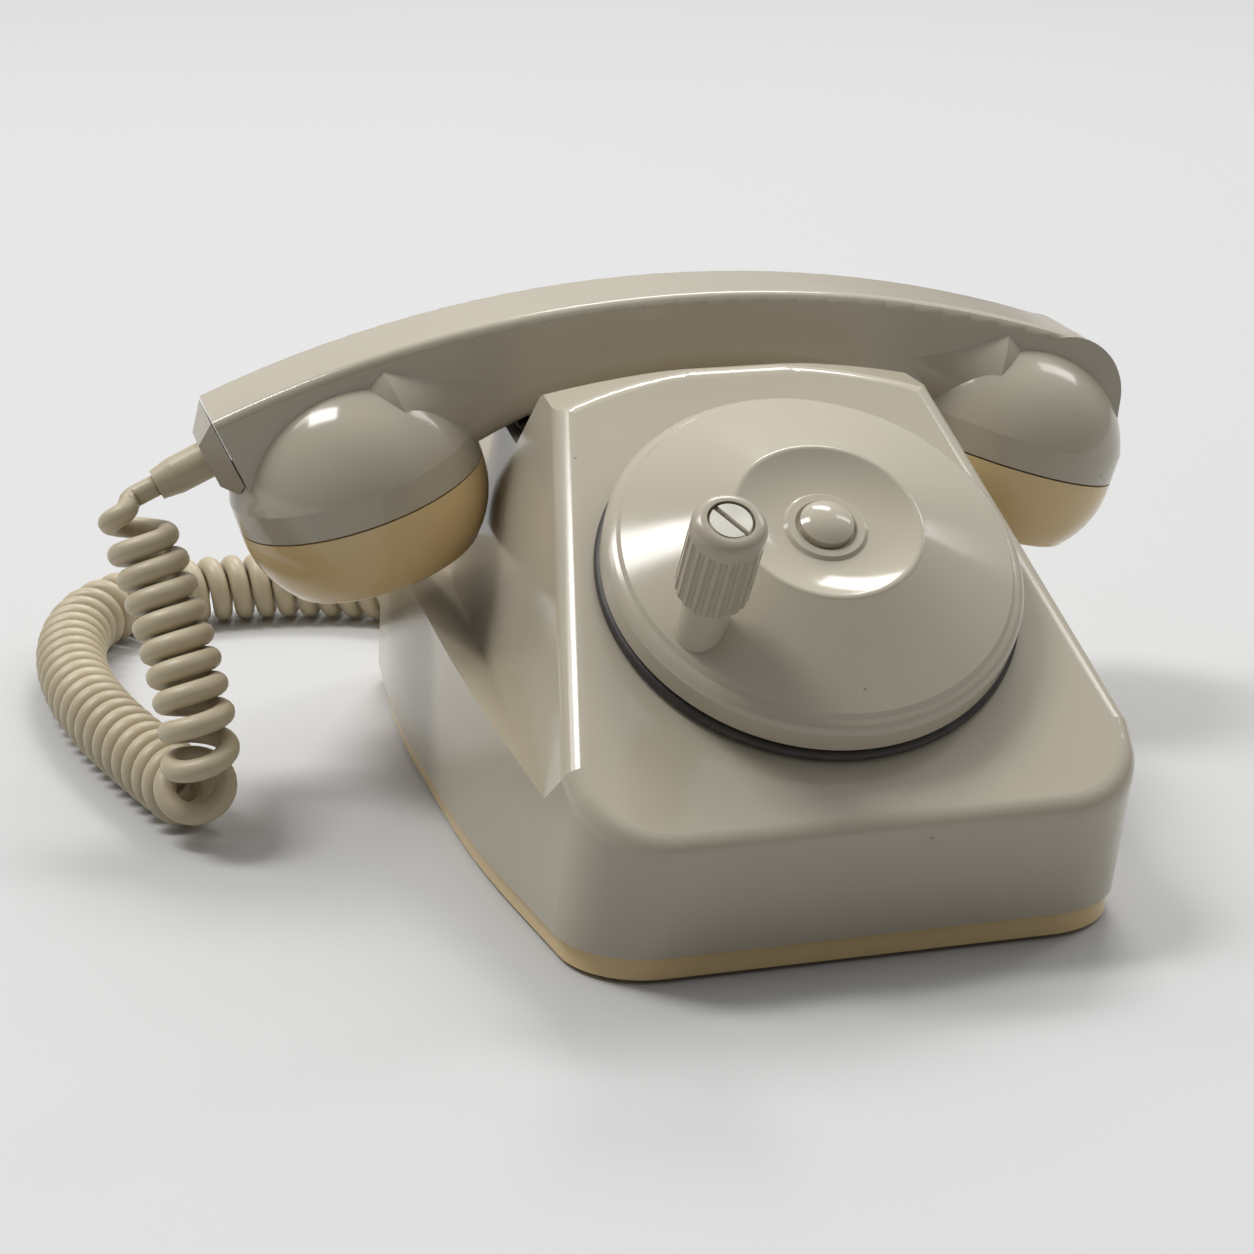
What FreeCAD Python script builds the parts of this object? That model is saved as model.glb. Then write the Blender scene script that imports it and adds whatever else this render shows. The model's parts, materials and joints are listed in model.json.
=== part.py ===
import FreeCAD, Part
import Sketcher
import math
import os

# Desk telephone with a hand crank: a moulded housing with a sloped panel, a disc crank
# that drives a magneto generator, a cradle with two plungers, a handset and a curly cord.

Vector = FreeCAD.Vector
Rotation = FreeCAD.Rotation
Placement = FreeCAD.Placement

doc = FreeCAD.newDocument("crank_telephone")
sheet = doc.addObject("Spreadsheet::Sheet", "Dims")


class Size:
    """A number of the sheet together with the expression that yields it."""

    def __init__(self, value, text):
        self.value = float(value)
        self.text = text

    def joined(self, other, sign, value):
        text = other.text if isinstance(other, Size) else repr(round(float(other), 6))
        return Size(value, "(%s %s %s)" % (self.text, sign, text))

    def __add__(self, other):
        return self.joined(other, "+", self.value + val(other))

    def __sub__(self, other):
        return self.joined(other, "-", self.value - val(other))

    def __mul__(self, other):
        return self.joined(other, "*", self.value * val(other))

    def __truediv__(self, other):
        return self.joined(other, "/", self.value / val(other))

    def __neg__(self):
        return Size(-self.value, "(0 - %s)" % self.text)


def val(thing):
    return thing.value if isinstance(thing, Size) else float(thing)


rows = []


def dim(name, value):
    """Put one driving dimension into the sheet."""
    rows.append(name)
    cell = "B%d" % len(rows)
    sheet.set("A%d" % len(rows), name)
    sheet.set(cell, str(value))
    sheet.setAlias(cell, name)
    return Size(value, "Dims." + name)


def bind(thing, prop, size):
    if isinstance(size, Size):
        thing.setExpression(prop, size.text)
    else:
        setattr(thing, prop, size)


# Housing
wall = dim("wall_thickness", 3.0)
seam_height = dim("seam_height", 6.5)
front_edge = dim("front_edge", 96.6)
front_half = dim("front_half_width", 60.6)
middle_half = dim("middle_half_width", 71.0)
rear_half = dim("rear_half_width", 73.0)
tail_half = dim("tail_half_width", 68.5)
rear_edge = dim("rear_edge", 101.0)
hull_height = dim("hull_height", 104.0)
front_corner = dim("front_corner_radius", 20.0)
rear_corner = dim("rear_corner_radius", 14.0)
side_bend = dim("side_bend_radius", 400.0)
middle_y = dim("middle_depth", 28.0)
rear_y = dim("rear_bend_depth", 50.0)
panel_height = dim("panel_height_at_centre", 103.9)
panel_tilt = dim("panel_tilt_degrees", 33.46)
ridge_radius = dim("ridge_radius", 7.0)
edge_radius = dim("panel_edge_radius", 5.0)
crown_radius = dim("crown_radius", 170.0)
trough_floor = dim("trough_floor_height", 83.0)
trough_front = dim("trough_front", 24.0)
trough_rear = dim("trough_rear", 56.0)
horn_height = dim("horn_height", 96.0)
finger_half = dim("finger_slot_half_width", 26.0)
boss_radius = dim("boss_radius", 5.0)
# Base
plate_inset = dim("plate_inset", 1.2)
plate_bottom = dim("plate_bottom", 1.2)
foot_radius = dim("foot_radius", 7.0)
screw_radius = dim("screw_radius", 2.0)
screw_head = dim("screw_head_radius", 3.5)
# Crank
disc_radius = dim("disc_radius", 46.0)
disc_depth = dim("disc_depth", 52.06)
disc_lift = dim("disc_lift_above_panel", 3.7)
rim_height = dim("rim_height", 7.4)
shoulder_radius = dim("shoulder_radius", 43.4)
dish_radius = dim("dish_radius", 20.2)
disc_height = dim("disc_height", 18.9)
cap_radius = dim("cap_radius", 5.8)
hub_radius = dim("hub_radius", 9.0)
shaft_radius = dim("shaft_radius", 4.0)
running_gap = dim("running_gap", 0.04)
ring_radius = dim("ring_radius", 44.6)
ring_height = dim("ring_height", 2.3)
knob_reach = dim("knob_reach", 36.8)
knob_angle = dim("knob_angle_degrees", 212.0)
post_radius = dim("post_radius", 5.15)
post_height = dim("post_height", 12.0)
pin_radius = dim("knob_pin_radius", 3.0)
grip_radius = dim("grip_radius", 7.75)
grip_height = dim("grip_height", 23.0)
flute_radius = dim("flute_radius", 0.75)
flute_count = dim("flute_count", 20)
# Generator
gear_module = dim("gear_module", 1.0)
gear_teeth = dim("gear_teeth", 54)
pinion_teeth = dim("pinion_teeth", 18)
gear_width = dim("gear_width", 5.0)
tooth_play = dim("tooth_play", 0.16)
rotor_radius = dim("rotor_radius", 11.0)
rotor_shaft = dim("rotor_shaft_radius", 2.5)
frame_half = dim("frame_half_width", 26.0)
frame_plate = dim("frame_plate_thickness", 2.0)
# Ringer
gong_radius = dim("gong_radius", 19.0)
gong_wall = dim("gong_wall", 1.4)
gong_x = dim("gong_offset", 24.0)
gong_y = dim("gong_depth", 58.0)
coil_radius = dim("ringer_coil_radius", 8.0)
# Hook switch
plunger_radius = dim("plunger_radius", 4.0)
plunger_x = dim("plunger_offset", 25.0)
handset_y = dim("handset_depth", 40.0)
# Handset
handle_top = dim("handle_top_height", 116.0)
handle_width = dim("handle_width", 26.0)
handle_arc = dim("handle_arc_radius", 300.0)
grip_arc = dim("grip_arc_radius", 116.0)
cup_x = dim("cup_offset", 81.6)
cup_z = dim("cup_height", 70.3)
cup_radius = dim("cup_radius", 30.4)
cup_tilt = dim("cup_tilt_degrees", 17.3)
cap_depth = dim("cap_depth", 19.5)
joint_gap = dim("joint_gap", 0.4)
sleeve_radius = dim("sleeve_radius", 4.5)
# Cord
wire_diameter = dim("wire_diameter", 5.0)
curl_radius = dim("curl_radius", 6.5)
curl_pitch = dim("curl_pitch", 5.9)
gland_x = dim("gland_offset", 40.0)
gland_z = dim("gland_height", 14.0)
gland_radius = dim("gland_radius", 5.5)
doc.recompute()

made = {}


def keep(label, thing):
    """Name a finished piece; every kept piece becomes one file."""
    thing.Label = label
    made[label] = thing
    return thing


def attach(body, role, name, lift=None):
    sketch = body.newObject("Sketcher::SketchObject", name)
    plane = [one for one in body.Origin.OriginFeatures if one.Role == role][0]
    sketch.AttachmentSupport = [(plane, "")]
    sketch.MapMode = "FlatFace"
    if isinstance(lift, Size):
        sketch.setExpression("AttachmentOffset.Base.z", lift.text)
    elif lift is not None:
        sketch.AttachmentOffset = Placement(Vector(0, 0, lift), Rotation())
    return sketch


def draw(sketch, corners, arcs=None):
    """A closed outline whose corners are held by distances from the origin.
    arcs maps a side to its radius; positive bulges right of travel, negative left."""
    arcs = arcs or {}
    points = [Vector(val(x), val(y), 0) for x, y in corners]
    count = len(points)
    ends = []
    for i in range(count):
        a = points[i]
        b = points[(i + 1) % count]
        if i in arcs:
            radius = abs(val(arcs[i]))
            side = 1.0 if val(arcs[i]) > 0 else -1.0
            along = (b - a).normalize()
            left = Vector(-along.y, along.x, 0)
            half = (b - a).Length / 2
            rise = math.sqrt(max(radius * radius - half * half, 0.0))
            centre = (a + b) * 0.5 + left * (side * rise)
            middle = centre - left * (side * radius)
            sketch.addGeometry(Part.Arc(a, middle, b), False)
            ends.append((1, 2) if side > 0 else (2, 1))
        else:
            sketch.addGeometry(Part.LineSegment(a, b), False)
            ends.append((1, 2))
    for i in range(count):
        last = (i - 1) % count
        sketch.addConstraint(Sketcher.Constraint("Coincident", last, ends[last][1], i, ends[i][0]))
    for i, (x, y) in enumerate(corners):
        for kind, size in (("DistanceX", x), ("DistanceY", y)):
            rule = Sketcher.Constraint(kind, -1, 1, i, ends[i][0], val(size))
            index = sketch.addConstraint(rule)
            if isinstance(size, Size):
                sketch.setExpression("Constraints[%d]" % index, size.text)
    for i, radius in arcs.items():
        size = radius if val(radius) > 0 else -radius
        index = sketch.addConstraint(Sketcher.Constraint("Radius", i, val(size)))
        if isinstance(size, Size):
            sketch.setExpression("Constraints[%d]" % index, size.text)


def soft_corners(corners, radii):
    """Replace each corner of a counter-clockwise outline by an arc tangent to its sides."""
    if not radii:
        return corners, None
    points = [Vector(val(x), val(y), 0) for x, y in corners]
    count = len(points)
    softened = []
    arcs = {}
    for i, (x, y) in enumerate(corners):
        before = (points[i] - points[i - 1]).normalize()
        after = (points[(i + 1) % count] - points[i]).normalize()
        cosine = max(-1.0, min(1.0, before.dot(after)))
        reach = math.tan(math.acos(cosine) / 2)
        radius = radii[i]
        arcs[2 * i] = radius
        softened.append((x - radius * (before.x * reach), y - radius * (before.y * reach)))
        softened.append((x + radius * (after.x * reach), y + radius * (after.y * reach)))
    return softened, arcs


def turned(name, corners, arcs=None, place=None):
    """A body of revolution about its own Z axis; corners are radius and height."""
    body = doc.addObject("PartDesign::Body", name)
    sketch = attach(body, "XZ_Plane", name + "_profile")
    draw(sketch, corners, arcs)
    spin = body.newObject("PartDesign::Revolution", name + "_turn")
    spin.Profile = sketch
    spin.ReferenceAxis = (sketch, ["V_Axis"])
    spin.Angle = 360
    body.Tip = spin
    if place:
        body.Placement = place
    return body


def padded(name, role, corners, length, arcs=None, lift=None, midplane=False, place=None):
    body = doc.addObject("PartDesign::Body", name)
    sketch = attach(body, role, name + "_outline", lift)
    draw(sketch, corners, arcs)
    pad = body.newObject("PartDesign::Pad", name + "_pad")
    pad.Profile = sketch
    bind(pad, "Length", length)
    pad.Midplane = midplane
    body.Tip = pad
    if place:
        body.Placement = place
    return body


def lofted(name, low, high, low_z, high_z, place=None, radii=None):
    body = doc.addObject("PartDesign::Body", name)
    first = attach(body, "XY_Plane", name + "_low", low_z)
    draw(first, *soft_corners(low, radii))
    second = attach(body, "XY_Plane", name + "_high", high_z)
    draw(second, *soft_corners(high, radii))
    loft = body.newObject("PartDesign::AdditiveLoft", name + "_loft")
    loft.Profile = first
    loft.Sections = [second]
    loft.Ruled = True
    body.Tip = loft
    if place:
        body.Placement = place
    return body


def rounded(body, name, radius, chosen):
    """Fillet the edges of a body for which chosen(edge) holds."""
    doc.recompute()
    base = body.Tip
    names = []
    for i, edge in enumerate(base.Shape.Edges):
        if chosen(edge):
            names.append("Edge%d" % (i + 1))
    fillet = body.newObject("PartDesign::Fillet", name)
    fillet.Base = (base, names)
    bind(fillet, "Radius", radius)
    body.Tip = fillet
    doc.recompute()
    return body


def cylinder(name, radius, height, place):
    thing = doc.addObject("Part::Cylinder", name)
    bind(thing, "Radius", radius)
    bind(thing, "Height", height)
    thing.Placement = place
    return thing


def box(name, length, width, height, corner, turn=None):
    thing = doc.addObject("Part::Box", name)
    bind(thing, "Length", length)
    bind(thing, "Width", width)
    bind(thing, "Height", height)
    thing.Placement = Placement(corner, turn or Rotation())
    return thing


def cut(name, base, tool):
    thing = doc.addObject("Part::Cut", name)
    thing.Base = base
    thing.Tool = tool
    return thing


def fused(name, pieces):
    thing = doc.addObject("Part::MultiFuse", name)
    thing.Shapes = pieces
    return thing


def common(name, pieces):
    thing = doc.addObject("Part::MultiCommon", name)
    thing.Shapes = pieces
    return thing


def group(name, pieces):
    thing = doc.addObject("Part::Compound", name)
    thing.Links = pieces
    return thing


def beyond(name, point, normal):
    """A large block that fills the space on the far side of a plane."""
    turn = Rotation(Vector(0, 0, 1), normal)
    corner = point - turn.multVec(Vector(300, 300, 0))
    return box(name, 600, 600, 300, corner, turn)


def inset(points, amount):
    """Corner shifts that move every side of a counter-clockwise outline inward by one."""
    shifts = []
    count = len(points)
    for i in range(count):
        before = points[i] - points[i - 1]
        after = points[(i + 1) % count] - points[i]
        before.normalize()
        after.normalize()
        first = Vector(-before.y, before.x, 0)
        second = Vector(-after.y, after.x, 0)
        both = first + second
        both = both / (1.0 + first.dot(second))
        shifts.append(both * amount)
    return shifts


def shifted(corners, amount, size):
    points = [Vector(val(x), val(y), 0) for x, y in corners]
    moves = inset(points, amount)
    result = []
    for (x, y), move in zip(corners, moves):
        result.append((x + size * move.x, y + size * move.y))
    return result


# Outlines of the housing: counter-clockwise from the front left corner
plan_low = [
    (-front_half, -front_edge),
    (front_half, -front_edge),
    (middle_half, -middle_y),
    (rear_half, rear_y),
    (tail_half, rear_edge),
    (-tail_half, rear_edge),
    (-rear_half, rear_y),
    (-middle_half, -middle_y),
]
plan_high = [
    (-(front_half - 3.7), -(front_edge + 29.5)),
    (front_half - 3.7, -(front_edge + 29.5)),
    (middle_half, -middle_y),
    (rear_half - 0.4, rear_y - 26.0),
    (tail_half + 1.8, rear_edge - 33.0),
    (-(tail_half + 1.8), rear_edge - 33.0),
    (-(rear_half - 0.4), rear_y - 26.0),
    (-middle_half, -middle_y),
]
plan_radii = [front_corner, front_corner, side_bend, side_bend, rear_corner, rear_corner, side_bend, side_bend]
slope = math.tan(math.radians(val(panel_tilt)))
ridge_y = 4.0
side_profile = [
    (Size(-135, "-135"), Size(-5, "-5")),
    (Size(130, "130"), Size(-5, "-5")),
    (Size(130, "130"), horn_height),
    (trough_rear + 8.0, horn_height),
    (trough_rear, trough_floor),
    (trough_front, trough_floor),
    (Size(ridge_y, "4"), panel_height + ridge_y * slope),
    (Size(-135, "-135"), panel_height - 135 * slope),
]


def hull(name, layer):
    """The housing's outer or inner form; layer is the wall offset, or None outside."""
    low = plan_low
    high = plan_high
    profile = side_profile
    thick = 0.0
    low_z = seam_height
    if layer is not None:
        low = shifted(plan_low, 1.0, layer)
        high = shifted(plan_high, 1.0, layer)
        profile = shifted(side_profile, 1.0, layer)
        thick = val(layer)
        low_z = seam_height - 1.5
    radii = plan_radii
    if layer is not None:
        radii = [radius - layer for radius in plan_radii]
    body = lofted(name + "_form", low, high, low_z, seam_height + hull_height, radii=radii)
    side = padded(name + "_side", "YZ_Plane", profile, 240, midplane=True)
    radius = ridge_radius
    if layer is not None:
        radius = ridge_radius - layer

    def ridge(edge):
        mid = edge.CenterOfMass
        return abs(mid.x) < 1 and abs(mid.y - ridge_y) < 6 and mid.z > 90

    rounded(side, name + "_ridge", radius, ridge)
    crown = cylinder(name + "_crown", crown_radius - thick, 500, Placement(
        Vector(0, 250, val(panel_height) + 0.7 - val(crown_radius)), Rotation(Vector(1, 0, 0), 90)))
    notches = []
    for sign in (-1, 1):
        out = Vector(sign, 0.0575, 0.24)
        out.normalize()
        flank = beyond(name + "_flank", Vector(sign * 68.2, 0, 0) - out * thick, out)
        up = Vector(-0.769 * sign, -0.0695, 1)
        up.normalize()
        ledge = beyond(name + "_ledge", Vector(sign * 61, -56, 34.4) - up * thick, up)
        notches.append(common(name + "_notch", [flank, ledge]))
    block = common(name + "_block", [body, side, crown])
    slot = box(name + "_finger_slot", finger_half * 2 + 2 * thick, 80, 40, Vector(
        -val(finger_half) - thick, val(trough_rear) - 0.5 - thick, val(trough_floor) - thick))
    block = cut(name + "_slotted", block, slot)
    return cut(name, cut(name + "_half", block, notches[0]), notches[1])


disc_axis = Vector(0, -math.sin(math.radians(val(panel_tilt))), math.cos(math.radians(val(panel_tilt))))
disc_up = Vector(0, disc_axis.z, -disc_axis.y)
panel_point = Vector(0, -val(disc_depth), val(panel_height) - val(disc_depth) * slope)
disc_origin = panel_point + disc_axis * val(disc_lift)
disc_turn = Rotation(Vector(1, 0, 0), val(panel_tilt))


def on_axis(up, height, across=0.0):
    """A place of the crank's frame: across the panel, up the panel, along the axis."""
    return Placement(disc_origin + Vector(across, 0, 0) + disc_up * up + disc_axis * height, disc_turn)


# Housing shell
outer = hull("outer", None)
doc.recompute()
soft_edges = []
for face in outer.Shape.Faces:
    if face.Surface.TypeId == "Part::GeomPlane" and face.normalAt(0, 0).dot(disc_axis) > 0.999:
        for edge in face.Edges:
            for i, other in enumerate(outer.Shape.Edges):
                if other.isSame(edge):
                    soft_edges.append((i + 1, val(edge_radius), val(edge_radius)))
sharp = outer
outer = doc.addObject("Part::Fillet", "outer_soft")
outer.Base = sharp
outer.Edges = soft_edges
doc.recompute()
inner = hull("inner", wall)
doc.recompute()
shell = cut("housing_shell", outer, inner)
boss_spots = [(-50, -78), (50, -78), (-52, 48), (52, 48)]
bosses = []
holes = []
for x, y in boss_spots:
    bosses.append(cylinder("boss", boss_radius, 70, Placement(Vector(x, y, val(seam_height)), Rotation())))
    holes.append(cylinder("boss_hole", screw_radius, 18, Placement(Vector(x, y, 0), Rotation())))
boss_part = common("boss_part", [fused("boss_set", bosses), outer])
holes.append(cylinder("panel_hole", shaft_radius + 3.0, 40, on_axis(0, -20)))
for sign in (-1, 1):
    spot = Vector(sign * val(plunger_x), val(handset_y), 70)
    holes.append(cylinder("plunger_hole", plunger_radius + 0.05, 30, Placement(spot, Rotation())))
    spot = Vector(sign * val(gland_x), 130, val(gland_z))
    holes.append(cylinder("gland_hole", gland_radius, 50, Placement(spot, Rotation(Vector(1, 0, 0), 90))))
body_shell = fused("housing_solid", [shell, boss_part])
housing = keep("housing", cut("housing_cut", body_shell, fused("housing_holes", holes)))
doc.recompute()

# Base plate, feet and screws
plate_plan = shifted(plan_low, 1.0, plate_inset)
plate_outline = soft_corners(plate_plan, [radius - plate_inset for radius in plan_radii])
plate = padded("base_plate_body", "XY_Plane", plate_outline[0], seam_height - plate_bottom, plate_outline[1],
               lift=plate_bottom)
plate_holes = []
screws = []
feet = []
for x, y in boss_spots:
    spot = Placement(Vector(x, y, 0), Rotation())
    plate_holes.append(cylinder("plate_hole", screw_radius + 0.1, 10, spot))
    plate_holes.append(cylinder("plate_sink", screw_head + 0.2, plate_bottom + 2.4, spot))
    head = [(0, plate_bottom + 0.2), (screw_head, plate_bottom + 0.2), (screw_head, plate_bottom + 2.3),
            (screw_radius - 0.05, plate_bottom + 2.3), (screw_radius - 0.05, Size(17, "17")),
            (0, Size(17, "17"))]
    screws.append(turned("base_screw", head, place=spot))
    feet.append(cylinder("foot", foot_radius, plate_bottom, Placement(Vector(x, y + 13, 0), Rotation())))
keep("base_plate", cut("base_plate_cut", plate, fused("plate_holes", plate_holes)))
keep("base_screws", group("base_screw_set", screws))
keep("rubber_feet", group("rubber_feet_set", feet))

# Ring under the crank, bearing of the crank shaft
ring = [(shaft_radius + 9.0, -disc_lift), (ring_radius, -disc_lift), (ring_radius, ring_height - disc_lift),
        (shaft_radius + 9.0, ring_height - disc_lift)]
keep("dial_ring", turned("dial_ring_body", ring, place=on_axis(0, 0)))
bore = shaft_radius + running_gap
bearing = [(bore, Size(-10, "-10")), (shaft_radius + 2.95, Size(-10, "-10")),
           (shaft_radius + 2.95, -disc_lift), (shaft_radius + 8.5, -disc_lift),
           (shaft_radius + 8.5, ring_height - disc_lift), (bore, ring_height - disc_lift)]
keep("crank_bearing", turned("crank_bearing_body", bearing, place=on_axis(0, 0)))

# Crank disc
skin = 3.0
disc = [
    (hub_radius, Size(0.4, "0.4")),
    (hub_radius, disc_height - 5.6),
    (dish_radius - 1.0, disc_height - 3.4),
    (shoulder_radius - skin, rim_height - 2.0),
    (disc_radius - skin, Size(2.0, "2")),
    (disc_radius - skin, Size(0, "0")),
    (disc_radius, Size(0, "0")),
    (disc_radius, rim_height - 2.4),
    (shoulder_radius, rim_height),
    (shoulder_radius - 0.8, rim_height + 0.9),
    (dish_radius + 0.9, disc_height - 0.5),
    (dish_radius - 0.5, disc_height - 0.3),
    (cap_radius + 3.4, disc_height - 2.7),
    (cap_radius + 2.6, disc_height - 2.0),
    (cap_radius + 0.9, disc_height - 2.0),
    (cap_radius + 0.4, disc_height - 2.9),
    (0, disc_height - 2.9),
    (0, Size(10.0, "10")),
    (shaft_radius + 0.02, Size(10.0, "10")),
    (shaft_radius + 0.02, Size(0.4, "0.4")),
]
disc_body = turned("crank_disc_body", disc, {7: Size(4.2, "4.2"), 10: Size(1.4, "1.4"), 11: Size(-34, "-34")},
                   place=on_axis(0, 0))
seat = cylinder("post_seat", pin_radius, 40, on_axis(0, 0))
angle = math.radians(val(knob_angle))
knob_x = val(knob_reach) * math.cos(angle)
knob_up = val(knob_reach) * math.sin(angle)
cone_run = (val(shoulder_radius) - 0.8 - val(knob_reach)) / (val(shoulder_radius) - val(dish_radius) - 1.7)
knob_base = val(rim_height) + 0.9 + cone_run * (val(disc_height) - val(rim_height) - 1.4)
seat.Placement = on_axis(knob_up, 0, knob_x)
dome = [(0, disc_height - 2.85), (cap_radius, disc_height - 2.85), (cap_radius, disc_height - 0.9),
        (Size(0.8, "0.8"), disc_height + 0.8), (0, disc_height + 0.8)]
keep("crank_cap", turned("crank_cap_body", dome, {2: Size(11.0, "11")}, place=on_axis(0, 0)))

# Knob: post with a pin through the disc, grip that turns on it, screw in its top
post_place = on_axis(knob_up, knob_base, knob_x)
sink = 3.4
post = [(0, Size(-8.0, "-8")), (pin_radius - 0.02, Size(-8.0, "-8")), (pin_radius - 0.02, Size(-sink, "-3.4")),
        (post_radius, Size(-sink, "-3.4")), (post_radius, post_height - 0.8), (post_radius - 0.8, post_height),
        (pin_radius, post_height), (pin_radius, post_height + grip_height - 2.9),
        (0, post_height + grip_height - 2.9)]
post_seat = cylinder("post_seat_top", post_radius + 0.02, 20, on_axis(knob_up, knob_base - sink, knob_x))
keep("crank_disc", cut("crank_disc_cut", disc_body, fused("post_seats", [seat, post_seat])))
keep("knob_post", turned("knob_post_body", post, place=post_place))
grip = [(pin_radius + 0.05, Size(0.4, "0.4")), (grip_radius - 0.8, Size(0.4, "0.4")),
        (grip_radius, Size(1.2, "1.2")), (grip_radius, grip_height - 2.4), (grip_radius - 2.2, grip_height),
        (grip_radius - 2.9, grip_height), (grip_radius - 2.9, grip_height - 3.0),
        (pin_radius + 0.05, grip_height - 3.0)]
knob = turned("crank_knob_body", grip, {3: Size(2.5, "2.5")}, place=on_axis(knob_up, knob_base + val(post_height), knob_x))
flute = attach(knob, "XY_Plane", "flute_circle")
flute.addGeometry(Part.Circle(Vector(val(grip_radius) + 0.15, 0, 0), Vector(0, 0, 1), val(flute_radius)), False)
flute.addConstraint(Sketcher.Constraint("PointOnObject", 0, 3, -1))
index = flute.addConstraint(Sketcher.Constraint("DistanceX", -1, 1, 0, 3, val(grip_radius) + 0.15))
flute.setExpression("Constraints[%d]" % index, (grip_radius + 0.15).text)
index = flute.addConstraint(Sketcher.Constraint("Radius", 0, val(flute_radius)))
flute.setExpression("Constraints[%d]" % index, flute_radius.text)
groove = knob.newObject("PartDesign::Pocket", "flute_cut")
groove.Profile = flute
groove.Reversed = True
bind(groove, "Length", grip_height - 4.4)
doc.recompute()
flutes = knob.newObject("PartDesign::PolarPattern", "flute_pattern")
flutes.Originals = [groove]
flutes.Axis = (flute, ["N_Axis"])
flutes.Angle = 360
bind(flutes, "Occurrences", flute_count)
knob.Tip = flutes
keep("crank_knob", knob)
top = post_height + grip_height
head = [(0, top - 2.9), (grip_radius - 3.2, top - 2.9), (grip_radius - 3.2, top - 0.5),
        (grip_radius - 3.5, top - 0.2), (0, top - 0.2)]
screw = turned("knob_screw_body", head, place=post_place)
slot = box("knob_slot", 1.2, 16, 3, Vector(0, 0, 0))
turn_slot = Placement(Vector(0, 0, 0), Rotation(Vector(0, 0, 1), 35))
slot.Placement = post_place.multiply(turn_slot).multiply(Placement(Vector(-0.6, -8, val(top) - 1.2), Rotation()))
keep("knob_screw", cut("knob_screw_cut", screw, slot))

# Crank shaft and gear train
deep = 56.0
keep("crank_shaft", cylinder("crank_shaft_bar", shaft_radius, deep + 9.9, on_axis(0, -deep)))
distance = val(gear_module) * (val(gear_teeth) + val(pinion_teeth)) / 2


def gear_shape(teeth, bore_radius, width, first):
    """Spur gear with involute flanks, thinned by half the tooth play on each side."""
    pitch = val(gear_module) * teeth / 2
    base = pitch * math.cos(math.radians(20))
    tip = pitch + 0.92 * val(gear_module)
    root = pitch - 1.25 * val(gear_module)

    def roll(radius):
        return math.tan(math.acos(base / radius)) - math.acos(base / radius)

    half = math.pi / (2 * teeth) - val(tooth_play) / (2 * pitch)
    low = max(base * 1.0005, root)
    levels = [low + (tip - low) * i / 3.0 for i in range(4)]
    points = []
    for i in range(teeth):
        middle = first + 2 * math.pi * i / teeth
        flank = []
        for radius in levels:
            flank.append((radius, half + roll(pitch) - roll(radius)))
        if root < low:
            flank.insert(0, (root, flank[0][1]))
        for radius, spread in flank:
            points.append(Vector(radius * math.cos(middle - spread), radius * math.sin(middle - spread), 0))
        for radius, spread in reversed(flank):
            points.append(Vector(radius * math.cos(middle + spread), radius * math.sin(middle + spread), 0))
    wire = Part.makePolygon(points + [points[0]])
    solid = Part.Face(wire).extrude(Vector(0, 0, width))
    return solid.cut(Part.makeCylinder(bore_radius, width + 2, Vector(0, 0, -1)))


def gear(name, teeth, bore_radius, width, first, place):
    thing = doc.addObject("Part::Feature", name)
    thing.Shape = gear_shape(int(val(teeth)), bore_radius, width, first)
    thing.Placement = place
    return thing


gear_low = -27.0
keep("drive_gear", gear("drive_gear_wheel", gear_teeth, val(shaft_radius) + 0.02, val(gear_width),
                        math.pi / 2, on_axis(0, gear_low)))
keep("pinion", gear("pinion_wheel", pinion_teeth, val(rotor_shaft) + 0.02, val(gear_width) + 2,
                    -math.pi / 2 + math.pi / val(pinion_teeth), on_axis(distance, gear_low - 1)))
keep("rotor_shaft", cylinder("rotor_shaft_bar", rotor_shaft, 48, on_axis(distance, -57)))
slots = []
core = cylinder("armature_core", rotor_radius, 19, on_axis(distance, -50))
for sign in (-1, 1):
    notch = box("armature_slot", 8, 6, 40, Vector(0, 0, 0))
    notch.Placement = on_axis(distance, -60).multiply(Placement(Vector(-4, 5.5 if sign > 0 else -11.5, 0), Rotation()))
    slots.append(notch)
slots.append(cylinder("armature_bore", rotor_shaft + 0.02, 40, on_axis(distance, -60)))
keep("armature", cut("armature_cut", core, fused("armature_slots", slots)))
windings = []
for sign in (-1, 1):
    coil = box("winding", 7.6, 4.6, 18, Vector(0, 0, 0))
    coil.Placement = on_axis(distance, -49.5).multiply(
        Placement(Vector(-3.8, 5.6 if sign > 0 else -10.2, 0), Rotation()))
    windings.append(coil)
keep("armature_winding", group("armature_winding_set", windings))

# Generator frame
plates = []
for label, low in (("frame_plate_top", -14.0), ("frame_plate_bottom", -54.0)):
    plate_box = box(label + "_blank", frame_half * 2, 88, frame_plate, Vector(0, 0, 0))
    plate_box.Placement = on_axis(0, low).multiply(Placement(Vector(-val(frame_half), -30, 0), Rotation()))
    bores = fused(label + "_bores", [
        cylinder(label + "_bore", bore, 10, on_axis(0, low - 4)),
        cylinder(label + "_rotor_bore", rotor_shaft + running_gap, 10, on_axis(distance, low - 4))])
    keep(label, cut(label + "_cut", plate_box, bores))
pillars = []
spacers = []
frame_screws = []
for x in (-20.5, 20.5):
    for up in (-25.0, 54.0):
        pillars.append(cylinder("pillar", 2.5, 38, on_axis(up, -52, x)))
        spacers.append(cylinder("spacer", 3.0, 12.0 - val(disc_lift) - val(wall), on_axis(up, -12, x)))
        frame_screws.append(cylinder("frame_screw", 2.8, 1.6, on_axis(up, -55.6, x)))
keep("frame_pillars", group("frame_pillar_set", pillars))
keep("frame_spacers", group("frame_spacer_set", spacers))
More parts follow.
